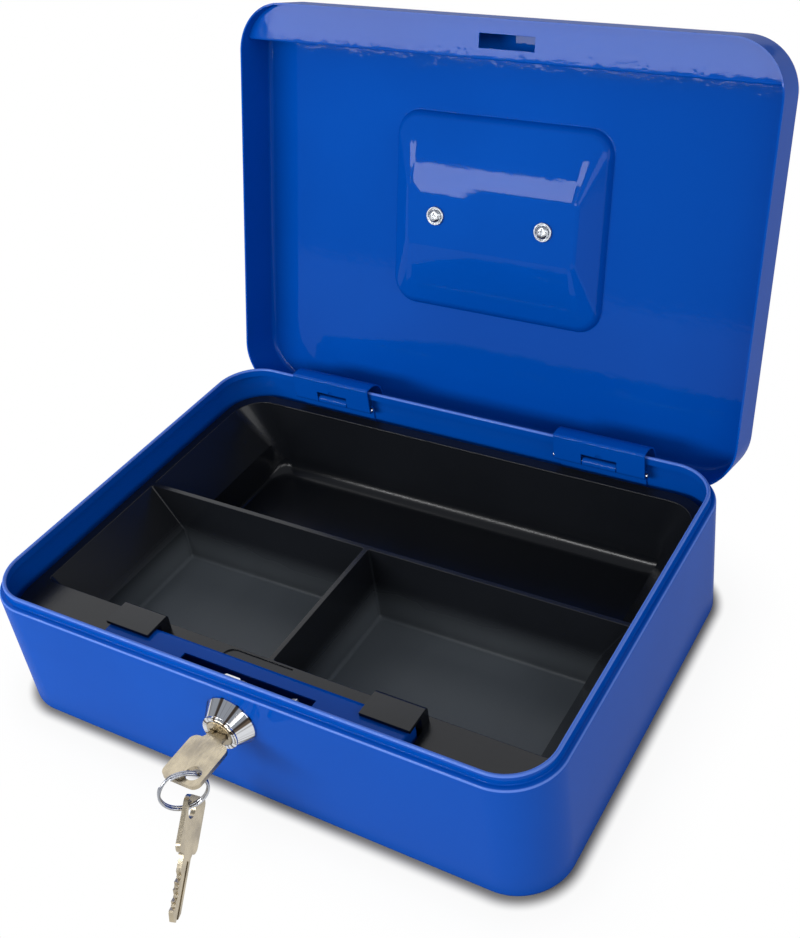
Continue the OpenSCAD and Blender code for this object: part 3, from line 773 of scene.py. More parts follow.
@dataclass
class Case:
    """The pressed steel case with its hemmed rim and the cover behind the lock."""

    width: float = 250.0
    depth: float = 182.0
    shoulder: float = 57.5
    corner: float = 22.0
    base_edge: float = 2.5
    shoulder_edge: float = 1.5
    rim_inset: float = 2.4
    rim_height: float = 4.0
    rim_foot: float = 0.5
    hem: float = 0.8
    shell_sheet: float = 0.72
    floor_margin: float = 1.1
    lock_z: float = 42.0
    lock_hole: float = 6.6
    cover_sheet: float = 0.8
    cover_width: float = 136.0
    cover_front: float = -90.2
    cover_rear: float = -70.2
    cover_top: float = 51.5
    cover_height: float = 29.0
    cover_corner: float = 3.0
    cover_fold: float = 0.9
    # The cover's slot: half its length, its middle, and its reach before and behind that.
    slot_half: float = 30.0
    slot_y: float = -81.75
    slot_reach: tuple[float, float] = (3.1, 4.4)

    def build(self) -> None:
        """Builds the shell and the cover."""
        self.shell()
        self.cover()

    def _section(self, name: str) -> Shape:
        """Draws the wall's outer skin from the floor to the end of the hem."""
        x0, y0 = self.width / 2 - self.corner, self.corner - self.depth / 2
        r, b, s, rim = self.corner, self.base_edge, self.shoulder_edge, self.corner - self.rim_inset
        top, foot, hem = self.shoulder + self.rim_height, self.rim_foot, self.hem

        def at(run: float, z: float) -> Vector:
            """Returns a point of the section."""
            return mm(x0 + run, y0, z)

        line = Shape.point(name, at(1, 0)).to(at(r - b, 0)).turn(at(r - b, b), FRONT, 90, 8)
        line.to(at(r, self.shoulder - s)).turn(at(r - s, self.shoulder - s), FRONT, 90, 6)
        line.to(at(rim + foot, self.shoulder)).turn(at(rim + foot, self.shoulder + foot), FRONT, -90, 4)
        line.to(at(rim, top - hem)).turn(at(rim - hem, top - hem), FRONT, 180, 12)
        return line.to(at(rim - 2 * hem, self.shoulder + 0.3))

    def shell(self) -> None:
        """Builds the tub as one bent sheet."""
        shape = self._section("case_body").around(self.width * MM, self.depth * MM, self.corner * MM)
        x = (self.width / 2 - self.corner + self.floor_margin) * MM
        y = (self.depth / 2 - self.corner + self.floor_margin) * MM
        shape.close(lambda p: level(0)(p) and abs(p.x) < x and abs(p.y) < y)
        shape.merge().face(DOWN).thicken(self.shell_sheet * MM)
        hole = Shape.rod("lock_hole", self.lock_hole * MM, mm(0, -95, self.lock_z),
                         mm(0, -85, self.lock_z), 64)
        shape.cut(hole).finish(Body.CASE, HIGHLIT_RIM_PAINT, "case_shell")

    def cover(self) -> None:
        """Builds the folded cover over the back of the lock, with the latch's slot."""
        half, low = self.cover_width / 2, self.cover_top - self.cover_height
        shape = Shape.block("lock_cover_sheet", mm(-half, self.cover_front, low),
                            mm(half, self.cover_rear, self.cover_top))
        shape.pick(lambda p: p.y < self.cover_front * MM + TINY or p.z < low * MM + TINY, Pick.FACE)
        bpy.ops.mesh.delete(type="FACE")
        shape.round_edges(lambda p: p.y > self.cover_rear * MM - TINY and abs(abs(p.x) - half * MM) < TINY,
                          self.cover_corner * MM, 8)
        shape.round_edges(lambda p: p.z > self.cover_top * MM - TINY
                          and (p.y > self.cover_front * MM + 1e-4 or abs(p.x) > half * MM - TINY),
                          self.cover_fold * MM, 4)
        shape.merge().face(UP).thicken(self.cover_sheet * MM)
        front, rear = self.slot_reach
        slot = Shape.block("cover_slot", mm(-self.slot_half, self.slot_y - front, 48),
                           mm(self.slot_half, self.slot_y + rear, 54))
        shape.cut(slot).ease(0.15 * MM).finish(Body.CASE, PAINT, "lock_cover")


@dataclass
class Hinges:
    """The two hinges: leaves on the lid, brackets and pins in the case."""

    hinging: Hinging = field(default_factory=Hinging)
    middles: tuple[float, float] = (-68.5, 68.5)
    sides: tuple[str, str] = ("left", "right")
    leaf_width: float = 42.0
    gauge: float = 0.8
    knuckle: float = 1.9
    pin: float = 1.1
    pin_proud: float = 1.0
    # The cut-out in the leaf: half its width, its top above the axis, and its notch's radius.
    mouth: tuple[float, float] = (8.2, 4.6)
    thumb: float = 1.6

    def build(self) -> None:
        """Builds both hinges."""
        for side, middle in zip(self.sides, self.middles):
            self.leaf(side, middle)
            self.bracket(side)
            self.pivot(side, middle)

    def leaf(self, side: str, middle: float) -> None:
        """Builds the leaf as one strip, rolled round the pin and curled over the rim."""
        x = middle - self.leaf_width / 2
        at = self.hinging.spot
        k = self.knuckle
        start = math.radians(60)
        line = Shape.point(f"hinge_leaf_sheet_{side}", at(x, k * math.cos(start), k * math.sin(start)))
        line.turn(at(x, 0, 0), RIGHT, -240, 24).to(at(x, -k, 10.3))
        line.turn(at(x, -k + 1.4, 10.3), RIGHT, -90, 6).to(at(x, 1.8, 11.7))
        line.turn(at(x, 1.8, 2.5), RIGHT, -90, 16).to(at(x, 11.0, -5.0))
        line.turn(at(x, 12.0, -5.0), RIGHT, 74, 8).to(at(x, 18.87, -8.01))
        bpy.ops.mesh.select_all(action="SELECT")
        line.push(mm(self.leaf_width, 0, 0)).merge().face(UP).thicken(self.gauge * MM)
        half, high = self.mouth
        mouth = Shape.block("leaf_mouth", at(middle - half, -3, -3), at(middle + half, 3, high))
        thumb = Shape.rod("leaf_thumb", self.thumb * MM, at(middle, -3, high), at(middle, 3, high), 32)
        line.cut(mouth, thumb).ease(0.16 * MM).finish(Body.LID, PAINT, f"hinge_leaf_{side}")

    def bracket(self, side: str) -> None:
        """Builds the bracket with its middle knuckle."""
        Shape.copy_of(f"hinge_bracket_{side}", f"hinge_bracket_sheet_{side}", 0.15 * MM).finish(
            Body.CASE, PAINT, f"hinge_bracket_{side}")

    def pivot(self, side: str, middle: float) -> None:
        """Builds the pin with its rounded ends."""
        at = self.hinging.spot
        reach = self.leaf_width / 2 + self.pin_proud
        shape = Shape.rod(f"hinge_pin_rod_{side}", self.pin * MM, at(middle - reach, 0, 0),
                          at(middle + reach, 0, 0), 32)
        shape.ease(0.45 * MM, steps=3).finish(Body.CASE, ZINC, f"hinge_pin_{side}")


@dataclass
class Lid:
    """The pressed lid with its handle well, and the strip that the latch enters."""

    hinging: Hinging = field(default_factory=Hinging)
    width: float = 250.0
    depth: float = 182.0
    corner: float = 22.0
    lip_z: float = 57.7
    height: float = 22.3
    edge: float = 3.0
    sheet: float = 0.8
    well_size: tuple[float, float] = (104.0, 87.0)
    well_corner: float = 11.0
    well_floor: tuple[float, float] = (83.0, 28.0)
    well_floor_corner: float = 3.0
    # The step part way down the well: how far in and how far down it lies.
    well_step: tuple[float, float] = (1.2, 3.0)
    # The fillets at the well's floor, step and mouth.
    well_fillets: tuple[float, float, float] = (1.2, 1.9, 0.9)
    well_drop: float = 10.0
    well_y: float = -5.0
    collar: float = 3.0
    screw_x: float = 26.5
    screw_hole: float = 2.2
    strip_z: float = 62.0
    strip_rear: float = -74.2
    strip_flange: float = 9.8
    strip_fold: float = 1.1
    # The strip's slot: its left, right, front and rear ends.
    slot: tuple[float, float, float, float] = (-5.0, 20.5, -84.65, -78.85)

    def build(self) -> None:
        """Builds the shell and the strip."""
        self.shell()
        self.strip()

    def shell(self) -> None:
        """Builds the lid as one pressed sheet, with the well pushed in from outside."""
        x0, y0, r, e = self.width / 2 - self.corner, self.corner - self.depth / 2, self.corner, self.edge
        top = self.lip_z + self.height

        def at(run: float, z: float) -> Vector:
            """Returns a point of the section."""
            return mm(x0 + run, y0, z)

        shape = Shape.point("lid_body", at(r, self.lip_z)).to(at(r, top - e))
        shape.turn(at(r - e, top - e), FRONT, 90, 10).to(at(1, top))
        shape.around(self.width * MM, self.depth * MM, r * MM)
        wide, deep = (size * MM for size in self.well_size)
        run, fall = self.well_step
        mouth, foot, floor = (mm(0, self.well_y, z) for z in (top, top - fall, top - self.well_drop))
        inset, floor_size = 2 * run * MM, [size * MM for size in self.well_floor]
        shape.join(Shape.ring("well_mouth", mouth, wide, deep, self.well_corner * MM),
                   Shape.ring("well_step", foot, wide - inset, deep - inset, (self.well_corner - run) * MM),
                   Shape.panel("well_floor", floor, *floor_size, self.well_floor_corner * MM, 20))
        bpy.ops.object.mode_set(mode="EDIT")

        def in_well(spot: Vector) -> Test:
            """Returns a test for points in the well's plan that lie level with a spot."""
            half_x, half_y = wide / 2 + TINY, deep / 2 + TINY
            return lambda p: level(spot.z)(p) and abs(p.x) < half_x and abs(p.y - spot.y) < half_y

        shape.bridge(in_well(mouth), in_well(foot)).bridge(in_well(foot), in_well(floor))
        shape.pick(in_well(mouth), Pick.EDGE)
        collar = (mouth, self.collar * MM, wide, deep)
        shape.push(Vector((0, 0, 0))).widen(*collar).merge()
        for spot, radius, steps in zip((floor, foot, mouth), self.well_fillets, (4, 6, 4)):
            shape.round_edges(in_well(spot), radius * MM, steps)
        plain = Shape.ring("lid_outline", mm(0, 0, top), 2 * (x0 + 1) * MM, 2 * (1 - y0) * MM, MM)
        hole = Shape.ring("lid_collar", mouth, wide, deep, self.well_corner * MM)
        shape.join(plain.fill(hole.widen(*collar)))
        bpy.ops.object.mode_set(mode="EDIT")
        shape.merge().face(UP).thicken(self.sheet * MM)
        holes = [Shape.rod(f"lid_hole_{i}", self.screw_hole * MM, floor + mm(x, 0, -3),
                           floor + mm(x, 0, 3), 32) for i, x in enumerate((-self.screw_x, self.screw_x))]
        shape.cut(*holes).ease(0.2 * MM).place(self.hinging.stand()).finish(Body.LID, PAINT, "lid_shell")

    def strip(self) -> None:
        """Builds the strip with its rear flange and slot."""
        inner_w, inner_d = self.width - 2 * self.sheet, self.depth - 2 * self.sheet
        z = self.strip_z
        shape = Shape.panel("latch_strip_sheet", mm(0, 0, z), inner_w * MM, inner_d * MM,
                            (self.corner - self.sheet) * MM, 20)
        bpy.ops.mesh.bisect(plane_co=mm(0, self.strip_rear, z), plane_no=REAR, clear_outer=True)
        shape.pick(lambda p: p.y > self.strip_rear * MM - TINY, Pick.EDGE)
        shape.push(mm(0, 0, self.strip_flange))
        shape.round_edges(lambda p: p.y > self.strip_rear * MM - TINY and p.z < z * MM + TINY,
                          self.strip_fold * MM, 4)
        shape.merge().face(DOWN).thicken(self.sheet * MM)
        left, right, front, rear = self.slot
        slot = Shape.block("strip_slot", mm(left, front, z - 3), mm(right, rear, z + 3))
        shape.cut(slot).ease(0.14 * MM).place(self.hinging.stand())
        shape.finish(Body.LID, PAINT, "latch_strip")


@dataclass
class Lock:
    """The cam lock in the front wall: bezel, nut, plug, cam and the cam's nut."""

    face_y: float = -98.5
    wall_y: float = -91.0
    inner_y: float = -90.2
    barrel_end: float = -83.2
    cam_front: float = -83.0
    cam_rear: float = -80.5
    plug_end: float = -78.1
    z: float = 42.0
    bezel_base: float = 11.0
    bezel_front: float = 7.6
    barrel: float = 6.5
    plug: float = 4.7
    flange: float = 5.6
    flat: float = 3.9
    nut_flat: float = 7.6
    nut_thick: float = 4.5
    keyway: tuple[float, float] = (7.4, 2.2)
    keyway_depth: float = 19.4
    pitch: float = 1.0
    thread: float = 0.42
    play: float = 0.06
    # The flat that stands on the cam beside its hook: its left and right sides, its foot and its top.
    lobe: tuple[float, float, float, float] = (-8.8, 1.3, 46.0, 53.4)
    lobe_corner: float = 2.0

    def build(self) -> None:
        """Builds the lock from its face to its cam."""
        self.bezel()
        self.nut()
        self.core()
        self.cam()

    def lathe(self, name: str, profile: Sequence[tuple[float, float]], steps: int = 96) -> Shape:
        """Turns a profile round the lock's axis.

        Args:
            name: The piece's name.
            profile: Radius and Y of each point, in millimetres.
            steps: The number of steps in the turn.

        Returns:
            The turned shape, in edit mode.
        """
        return Shape.lathe(name, [mm(r, y, self.z) for r, y in profile], mm(0, 0, self.z), REAR, steps)

    def bezel(self) -> None:
        """Builds the chrome cone with its stepped front ring and the threaded barrel behind it."""
        f, w, bore = self.face_y, self.wall_y, self.plug + self.play
        ring, seat, root = self.bezel_front, self.flange + self.play, self.barrel - self.thread
        profile = [(bore, self.barrel_end), (bore, f + 1.55), (seat, f + 1.55),
                   (seat, f + 0.35), (self.flange + 0.35, f + 0.05), (self.flange + 0.7, f),
                   (ring - 0.7, f), (ring - 0.25, f + 0.12), (ring, f + 0.45), (ring + 0.05, f + 0.95),
                   (ring - 0.12, f + 1.15), (ring + 0.1, f + 1.35)]
        profile += [(self.bezel_base - 0.35, w - 1.1), (self.bezel_base - 0.1, w - 0.8),
                    (self.bezel_base, w - 0.5), (self.bezel_base, w), (self.barrel - 0.3, w)]
        y = w + 0.4
        while y < self.barrel_end - 0.9:
            profile += [(self.barrel, y), (self.barrel, y + 0.12), (root, y + 0.5), (root, y + 0.62)]
            y += self.pitch
        profile += [(self.barrel, self.barrel_end - 0.5), (self.barrel - 0.5, self.barrel_end),
                    (bore, self.barrel_end)]
        self.lathe("lock_bezel", profile).finish(Body.CASE, TURNED, "lock_barrel", angle=25)

    def nut(self) -> None:
        """Builds the hexagonal nut with its turned-down corners."""
        r = self.nut_flat / math.cos(math.radians(30))
        front, rear = self.inner_y, self.inner_y + self.nut_thick
        shape = self.lathe("lock_nut_hexagon", [(0, front), (r, front), (r, rear), (0, rear)], 6)
        turned = self.lathe("nut_turning", [
            (0, front), (self.nut_flat, front), (r, front + 0.7), (r, rear - 0.7), (self.nut_flat, rear),
            (0, rear)])
        bore = self.lathe("nut_bore", [
            (0, front - 1), (self.barrel + 0.6, front - 1), (self.barrel, front + 0.6),
            (self.barrel, rear - 0.6), (self.barrel + 0.6, rear + 1), (0, rear + 1)])
        shape.cut(turned, operation=Cut.SHARED).cut(bore).ease(0.12 * MM)
        shape.finish(Body.CASE, ZINC, "lock_nut")

    def core(self) -> None:
        """Builds the turning plug with its keyway and the two flats that carry the cam."""
        f = self.face_y
        shape = self.lathe("lock_core", [(0, f), (self.flange - 0.5, f), (self.flange - 0.12, f + 0.12),
                                         (self.flange, f + 0.5), (self.flange, f + 1.5),
                                         (self.plug, f + 1.5), (self.plug, self.plug_end - 0.4),
                                         (self.plug - 0.4, self.plug_end), (0, self.plug_end)])
        wide, high = self.keyway
        way = Shape.block("keyway", mm(-wide / 2, f - 1, self.z - high / 2),
                          mm(wide / 2, f + self.keyway_depth, self.z + high / 2))
        mouth = Shape.block("keyway_mouth", mm(-wide / 2 - 0.3, f - 1, self.z - high / 2 - 0.3),
                            mm(wide / 2 + 0.3, f + 0.25, self.z + high / 2 + 0.3))
        flats = [Shape.block(f"flat_{side}", mm(-6, self.barrel_end, self.z + side * self.flat),
                             mm(6, self.plug_end + 1, self.z + side * (self.flat + 3)))
                 for side in (-1, 1)]
        # The lower block runs downwards, which leaves it inside out until it is merged.
        for tool in flats:
            tool.select().edit().merge()
        shape.cut(way, mouth, *flats).ease(0.12 * MM).finish(Body.PLUG, NICKEL, "lock_plug")

    def cam(self) -> None:
        """Builds the hooked cam and the slotted nut that holds it."""
        left, right, low, high = self.lobe
        lobe = Shape.block("cam_lobe", mm(left, self.cam_front, low), mm(right, self.cam_rear, high))
        lobe.round_edges(lambda p: p.z > high * MM - TINY, self.lobe_corner * MM, 6)
        plate = Shape.copy_of("latch_cam", "latch_cam_plate", 0.3 * MM)
        plate.cut(lobe, operation=Cut.FUSE).finish(Body.PLUG, ZINC, "latch_cam")
        Shape.copy_of("cam_nut", "cam_ring_nut", 0.2 * MM).finish(Body.PLUG, ZINC, "cam_nut")


@dataclass
class Keys:
    """The key in the lock, the split ring and the spare key that hangs on it."""

    face_y: float = -98.5
    lock_z: float = 42.0
    # The bow's width, length and corner.
    bow: tuple[float, float, float] = (16.5, 20.0, 3.0)
    neck: float = 4.0
    # The blade's width and length.
    blade: tuple[float, float] = (7.0, 19.0)
    thick: float = 1.8
    # The hole's X, Y and radius.
    hole: tuple[float, float, float] = (3.3, -18.8, 3.1)
    cuts: tuple[float, ...] = (1.3, 0.8, 1.6, 1.1)
    cut_start: float = 4.0
    cut_pitch: float = 3.2
    ring_spot: tuple[float, float, float] = (-0.184, -121.034, 35.75)
    ring_radius: float = 8.6
    ring_wire: float = 0.55
    ring_angle: float = 47.0
    ring_lap: float = 322.0
    step_count: int = 6
    spare_z: float = 25.55
    spare_angle: float = 17.0

    def build(self) -> None:
        """Builds both keys and the ring."""
        inserted = self.blank("key_inserted").place(Matrix.Translation(mm(0, self.face_y, self.lock_z)))
        inserted.finish(Body.KEY, NICKEL, "key_in_lock")
        self.ring()
        self.blank("key_spare").place(self.hanging()).finish(Body.SPARE, NICKEL, "spare_key")

    def hanging(self) -> Matrix:
        """Returns the move from a flat key to the spare, leaning outwards on the ring."""
        hole_x, hole_y, _ = self.hole
        run, side = self.blade[1] - 2 - hole_y, hole_x + self.blade[0] / 2
        lean = math.atan2(side, run) + math.acos(min(1.0, (self.spare_z - 0.4) / math.hypot(run, side)))
        x, y, _ = self.ring_spot
        return (Matrix.Translation(mm(x, y, self.spare_z))
                @ Matrix.Rotation(math.radians(self.spare_angle), 4, "Z")
                @ Matrix.Rotation(math.radians(270) - lean, 4, "X")
                @ Matrix.Rotation(math.radians(90), 4, "Y")
                @ Matrix.Translation(mm(-hole_x, -hole_y, 0)))

    def blank(self, name: str) -> Shape:
        """Builds a flat key, with its bow towards -Y and its stop at the origin.

        Args:
            name: The piece's name.

        Returns:
            The key, in object mode.
        """
        wide, long, corner = self.bow
        t, half, length = self.thick, self.blade[0] / 2, self.blade[1]
        shape = Shape.panel(name, mm(0, -self.neck - long / 2, -t / 2), wide * MM, long * MM, corner * MM)
        shape.push(mm(0, 0, t)).merge()
        outline = [(-half - 2.5, -5.5), (half + 2.5, -5.5), (half + 0.9, -4.2), (half, -2.5),
                   (half, length - 3), (half / 3, length), (-half / 3, length), (-half, length - 3),
                   (-half, -2.5), (-half - 0.9, -4.2)]
        start, *points = [mm(x, y, -t / 2) for x, y in outline]
        shape.cut(Shape.point("key_blade", start).to(*points).prism(mm(0, 0, t)), operation=Cut.FUSE)
        x, y, r = self.hole
        shape.cut(Shape.rod("key_hole", r * MM, mm(x, y, -2), mm(x, y, 2), 48))
        for i, depth in enumerate(self.cuts):
            y0 = self.cut_start + self.cut_pitch * i
            notch = Shape.point("notch", mm(half - depth, y0 - 0.5, -2))
            notch.to(mm(half + 1, y0 - 1.5 - depth, -2), mm(half + 1, y0 + 1.5 + depth, -2),
                     mm(half - depth, y0 + 0.5, -2))
            shape.cut(notch.prism(mm(0, 0, 4)))
        grooves = [Shape.block("groove_face", mm(-1.9, -1.5, t / 2 - 0.45), mm(-0.5, length + 1, 1.5)),
                   Shape.block("groove_back", mm(0.1, -1.5, -1.5), mm(1.2, length + 1, 0.4 - t / 2))]
        return shape.cut(*grooves).ease(0.16 * MM, angle=30)

    def ring(self) -> None:
        """Builds the split ring: a turn, a short step sideways and a second turn beside it."""
        r, w = self.ring_radius, self.ring_wire
        clear_selection()
        bpy.ops.mesh.primitive_circle_add(vertices=16, radius=w * MM, fill_type="NGON",
                                          rotation=(math.radians(90), 0, 0), location=mm(r, 0, -w))
        shape = Shape("split_ring", bpy.context.object).settle()
        centre = Vector((0, 0, 0))
        shape.turn(centre, UP, self.ring_lap, 72)
        for _ in range(self.step_count):
            shape.turn(centre, UP, (360 - self.ring_lap) / self.step_count, 1)
            bpy.ops.transform.translate(value=mm(0, 0, 2 * w / self.step_count))
        shape.turn(centre, UP, self.ring_lap, 72).merge(WELD).ease(0.15 * MM, angle=60)
        x, y, z = self.ring_spot
        shape.place(Matrix.Translation(mm(x, y, z)) @ Matrix.Rotation(math.radians(self.ring_angle), 4, "Z")
                    @ Matrix.Rotation(math.radians(90), 4, "X")
                    @ Matrix.Rotation(math.radians(150), 4, "Z"))
        shape.finish(Body.RING, WIRE, "key_ring", angle=50)


@dataclass
class Tray:
    """The moulded tray: one tub under a flange, parted into three compartments, with tabs and feet."""

    half_x: float = 120.5
    half_y: float = 86.5
    corner: float = 17.5
    top: float = 46.5
    floor: float = 8.5
    knee: float = 25.5
    wall: float = 1.5
    notch_x: float = 69.0
    notch_y: float = -69.7
    notch_corner: float = 1.0
    notch_foot: float = 1.5
    mouth_x: float = 116.0
    knee_x: float = 103.0
    rear: float = 81.0
    front: float = -63.2
    rear_lean: float = 1.5
    front_lean: float = 2.5
    # A rear corner's radius at the knee, what its floor fillet adds, and its radius at the mouth.
    rear_corner: tuple[float, float, float] = (7, 5, 14)
    front_corner: float = 3.0
    divider_corner: float = 1.0
    side_fillet: float = 1.6
    rear_fillet: float = 7.0
    foot_fillet: float = 1.6
    divider_x: float = -1.0
    divider_y: float = 6.5
    divider_half: float = 1.1
    edge: float = 0.28
    # Heights above the floor at which the floor's fillets are drawn.
    fillet_steps: tuple[float, ...] = (0, 0.13, 0.53, 1.18, 2.05, 3.11, 4.32, 5.63, 7.0)
    rest_x: tuple[float, float] = (-20.0, 10.0)
    rest_y: tuple[float, float] = (-72.0, -64.3)
    rest_depth: float = 0.6
    rest_corner: float = 4.0
    tab_x: float = 58.5
    tab_half: float = 10.5
    tab_front: float = -77.2
    tab_z: tuple[float, float] = (51.7, 53.2)
    tab_bend: float = 1.5
    foot: float = 4.0
    feet_x: float = 89.0
    feet_y: tuple[float, float] = (-46.7, 59.5)

    def build(self) -> None:
        """Builds the tray and its feet."""
        self.moulding()
        self.feet()

    def _outline(self) -> Shape:
        """Draws the flange's outline with the notch for the lock cover."""
        z, x, y, r = self.top - self.wall, self.half_x, self.half_y, self.corner
        nx, ny, c, f = self.notch_x, self.notch_y, self.notch_corner, self.notch_foot
        line = Shape.point("money_tray", mm(0, ny, z)).to(mm(nx - c, ny, z))
        return line.corners(
            z, (nx - c, ny - c, -90, 4, nx, f - y), (nx + f, f - y, 90, 4, x - r, -y),
            (x - r, r - y, 90, 16, x, y - r), (x - r, y - r, 90, 16, r - x, y),
            (r - x, y - r, 90, 16, -x, r - y), (r - x, r - y, 90, 16, -nx - f, -y),
            (-nx - f, f - y, 90, 4, -nx, ny - c), (c - nx, ny - c, -90, 4, 0, ny))

    def rest(self) -> Shape:
        """Builds the solid of the shallow rest that the latch swings over."""
        (left, right), (front, rear) = self.rest_x, self.rest_y
        shape = Shape.block("latch_rest", mm(left, front, self.top - self.rest_depth),
                            mm(right, rear, self.top + 1))
        return shape.round_edges(lambda p: p.y > rear * MM - TINY and p.x < left * MM + TINY,
                                 self.rest_corner * MM, 8)

    def _plan(self, name: str, z: float, sides: Sequence[float], radii: Sequence[float]) -> Shape:
        """Draws one level outline.

        Args:
            name: Its name.
            z: Its height.
            sides: Its left, right, front and rear sides.
            radii: The radii of its corners, from the front right one to the left.

        Returns:
            The outline.
        """
        x0, x1, y0, y1 = sides
        fr, rr, rl, fl = radii
        line = Shape.point(name, mm((x0 + x1) / 2, y0, z)).to(mm(x1 - fr, y0, z))
        return line.corners(
            z, (x1 - fr, y0 + fr, 90, 10, x1, y1 - rr), (x1 - rr, y1 - rr, 90, 10, x0 + rl, y1),
            (x0 + rl, y1 - rl, 90, 10, x0, y0 + fl), (x0 + fl, y0 + fl, 90, 10, (x0 + x1) / 2, y0))

    def _stack(self, name: str, levels: Sequence[tuple[float, Sequence[float], Sequence[float]]]) -> Shape:
        """Joins level outlines, from the lowest up, into one closed solid."""
        plans = [self._plan(f"{name}_{i}", *row) for i, row in enumerate(levels)]
        shape = plans[0].join(*plans[1:])
        bpy.ops.object.mode_set(mode="EDIT")
        tests = [level(row[0] * MM) for row in levels]
        for low, high in zip(tests, tests[1:]):
            shape.bridge(low, high)
        return shape.close(tests[0]).close(tests[-1]).merge()

    @staticmethod
    def _depth(fillet: float, height: float) -> float:
        """Returns how far a floor fillet stands in from its wall at a height above the floor."""
        return fillet - math.sqrt(max(0.0, fillet ** 2 - max(0.0, fillet - height) ** 2))

    def hollow(self, name: str, left: bool, right: bool, rear: bool) -> Shape:
        """Builds the hollow of one compartment.

        Args:
            name: Its name.
            left: Whether it reaches the tub's left side.
            right: Whether it reaches the tub's right side.
            rear: Whether it is the rear one.

        Returns:
            The solid to cut away.
        """
        rows = [(self.floor + height, height, 1.0) for height in self.fillet_steps]
        rows += [(self.knee, math.inf, 1.0), (self.top, math.inf, 0.0), (self.top + 1, math.inf, 0.0)]
        levels = []
        for z, height, lean in rows:
            out = self.knee_x if lean else self.mouth_x
            side, deep, step = (self._depth(fillet, height)
                                for fillet in (self.side_fillet, self.rear_fillet, self.foot_fillet))
            half, sharp = self.divider_half + step, self.divider_corner + step
            x0 = side - out if left else self.divider_x + half
            x1 = out - side if right else self.divider_x - half
            if rear:
                y0, y1 = self.divider_y + half, self.rear - self.rear_lean * lean - deep
                at_knee, more, at_mouth = self.rear_corner
                back = (at_knee + more * deep / self.rear_fillet) if lean else at_mouth
                radii = (sharp, back, back, sharp)
            else:
                y0, y1 = self.front + self.front_lean * lean + step, self.divider_y - half
                wide = self.front_corner + step
                radii = (wide if right else sharp, sharp, sharp, wide if left else sharp)
            levels.append((z, (x0, x1, y0, y1), radii))
        return self._stack(name, levels)

    def tub(self) -> Shape:
        """Builds the outside of the tub."""
        t = self.wall
        k, rear, front = self.knee_x + t, self.rear - self.rear_lean + t, self.front + self.front_lean - t
        return self._stack("tray_tub", [
            (self.floor - t, (4 - k, k - 4, front + 4, rear - 8), (5, 12, 12, 5)),
            (self.floor - t + 1.2, (1.2 - k, k - 1.2, front + 1.2, rear - 3), (4.5, 10, 10, 4.5)),
            (self.floor + 4, (-k, k, front, rear), (4.5, 8.5, 8.5, 4.5)),
            (self.knee, (-k, k, front, rear), (4.5, 8.5, 8.5, 4.5)),
            (self.top - 0.4, (-self.mouth_x - t, self.mouth_x + t, self.front - t, self.rear + t),
             (4.5, 15.5, 15.5, 4.5))])

    def moulding(self) -> None:
        """Builds the tray and cuts the compartments out of it, which leaves thin dividers."""
        shape = self._outline().prism(mm(0, 0, self.wall)).cut(self.tub(), operation=Cut.FUSE)
        shape.cut(self.rest(), self.hollow("rear_hollow", True, True, True),
                  self.hollow("left_hollow", True, False, False),
                  self.hollow("right_hollow", False, True, False))
        shape.modify("BEVEL", width=self.edge * MM, segments=3, limit_method="ANGLE",
                     angle_limit=math.radians(38), use_clamp_overlap=False)
        shape.join(*[self.tab(side).ease(self.edge * MM) for side in (-1, 1)])
        shape.finish(Body.TRAY, PLASTIC, "cash_tray", angle=28)

    def tab(self, side: int) -> Shape:
        """Builds one tab from its side view: a post on the flange and a plate over the lock cover."""
        x = side * self.tab_x - self.tab_half
        low, high = self.tab_z
        base, rear, y = self.top - self.wall, self.notch_y + 5, self.notch_y
        line = Shape.point(f"tray_tab_{side}", mm(x, self.tab_front, low))
        line.to(mm(x, y, low), mm(x, y, base), mm(x, rear, base), mm(x, rear, high - self.tab_bend))
        line.turn(mm(x, rear - self.tab_bend, high - self.tab_bend), RIGHT, 90, 6)
        line.to(mm(x, self.tab_front, high), mm(x, self.tab_front, low)).merge()
        return line.prism(mm(2 * self.tab_half, 0, 0))

    def feet(self) -> None:
        """Builds the four stand-offs under the tray."""
        parts = []
        for i, (x, y) in enumerate((sx * self.feet_x, y) for sx in (-1, 1) for y in self.feet_y):
            post = Shape.rod(f"tray_foot_{i}", self.foot * MM, mm(x, y, 1.0),
                             mm(x, y, self.floor - self.wall - 0.05), 40)
            parts.append(post.ease(0.6 * MM, steps=3))
        parts[0].join(*parts[1:]).finish(Body.TRAY, PLASTIC, "tray_feet")


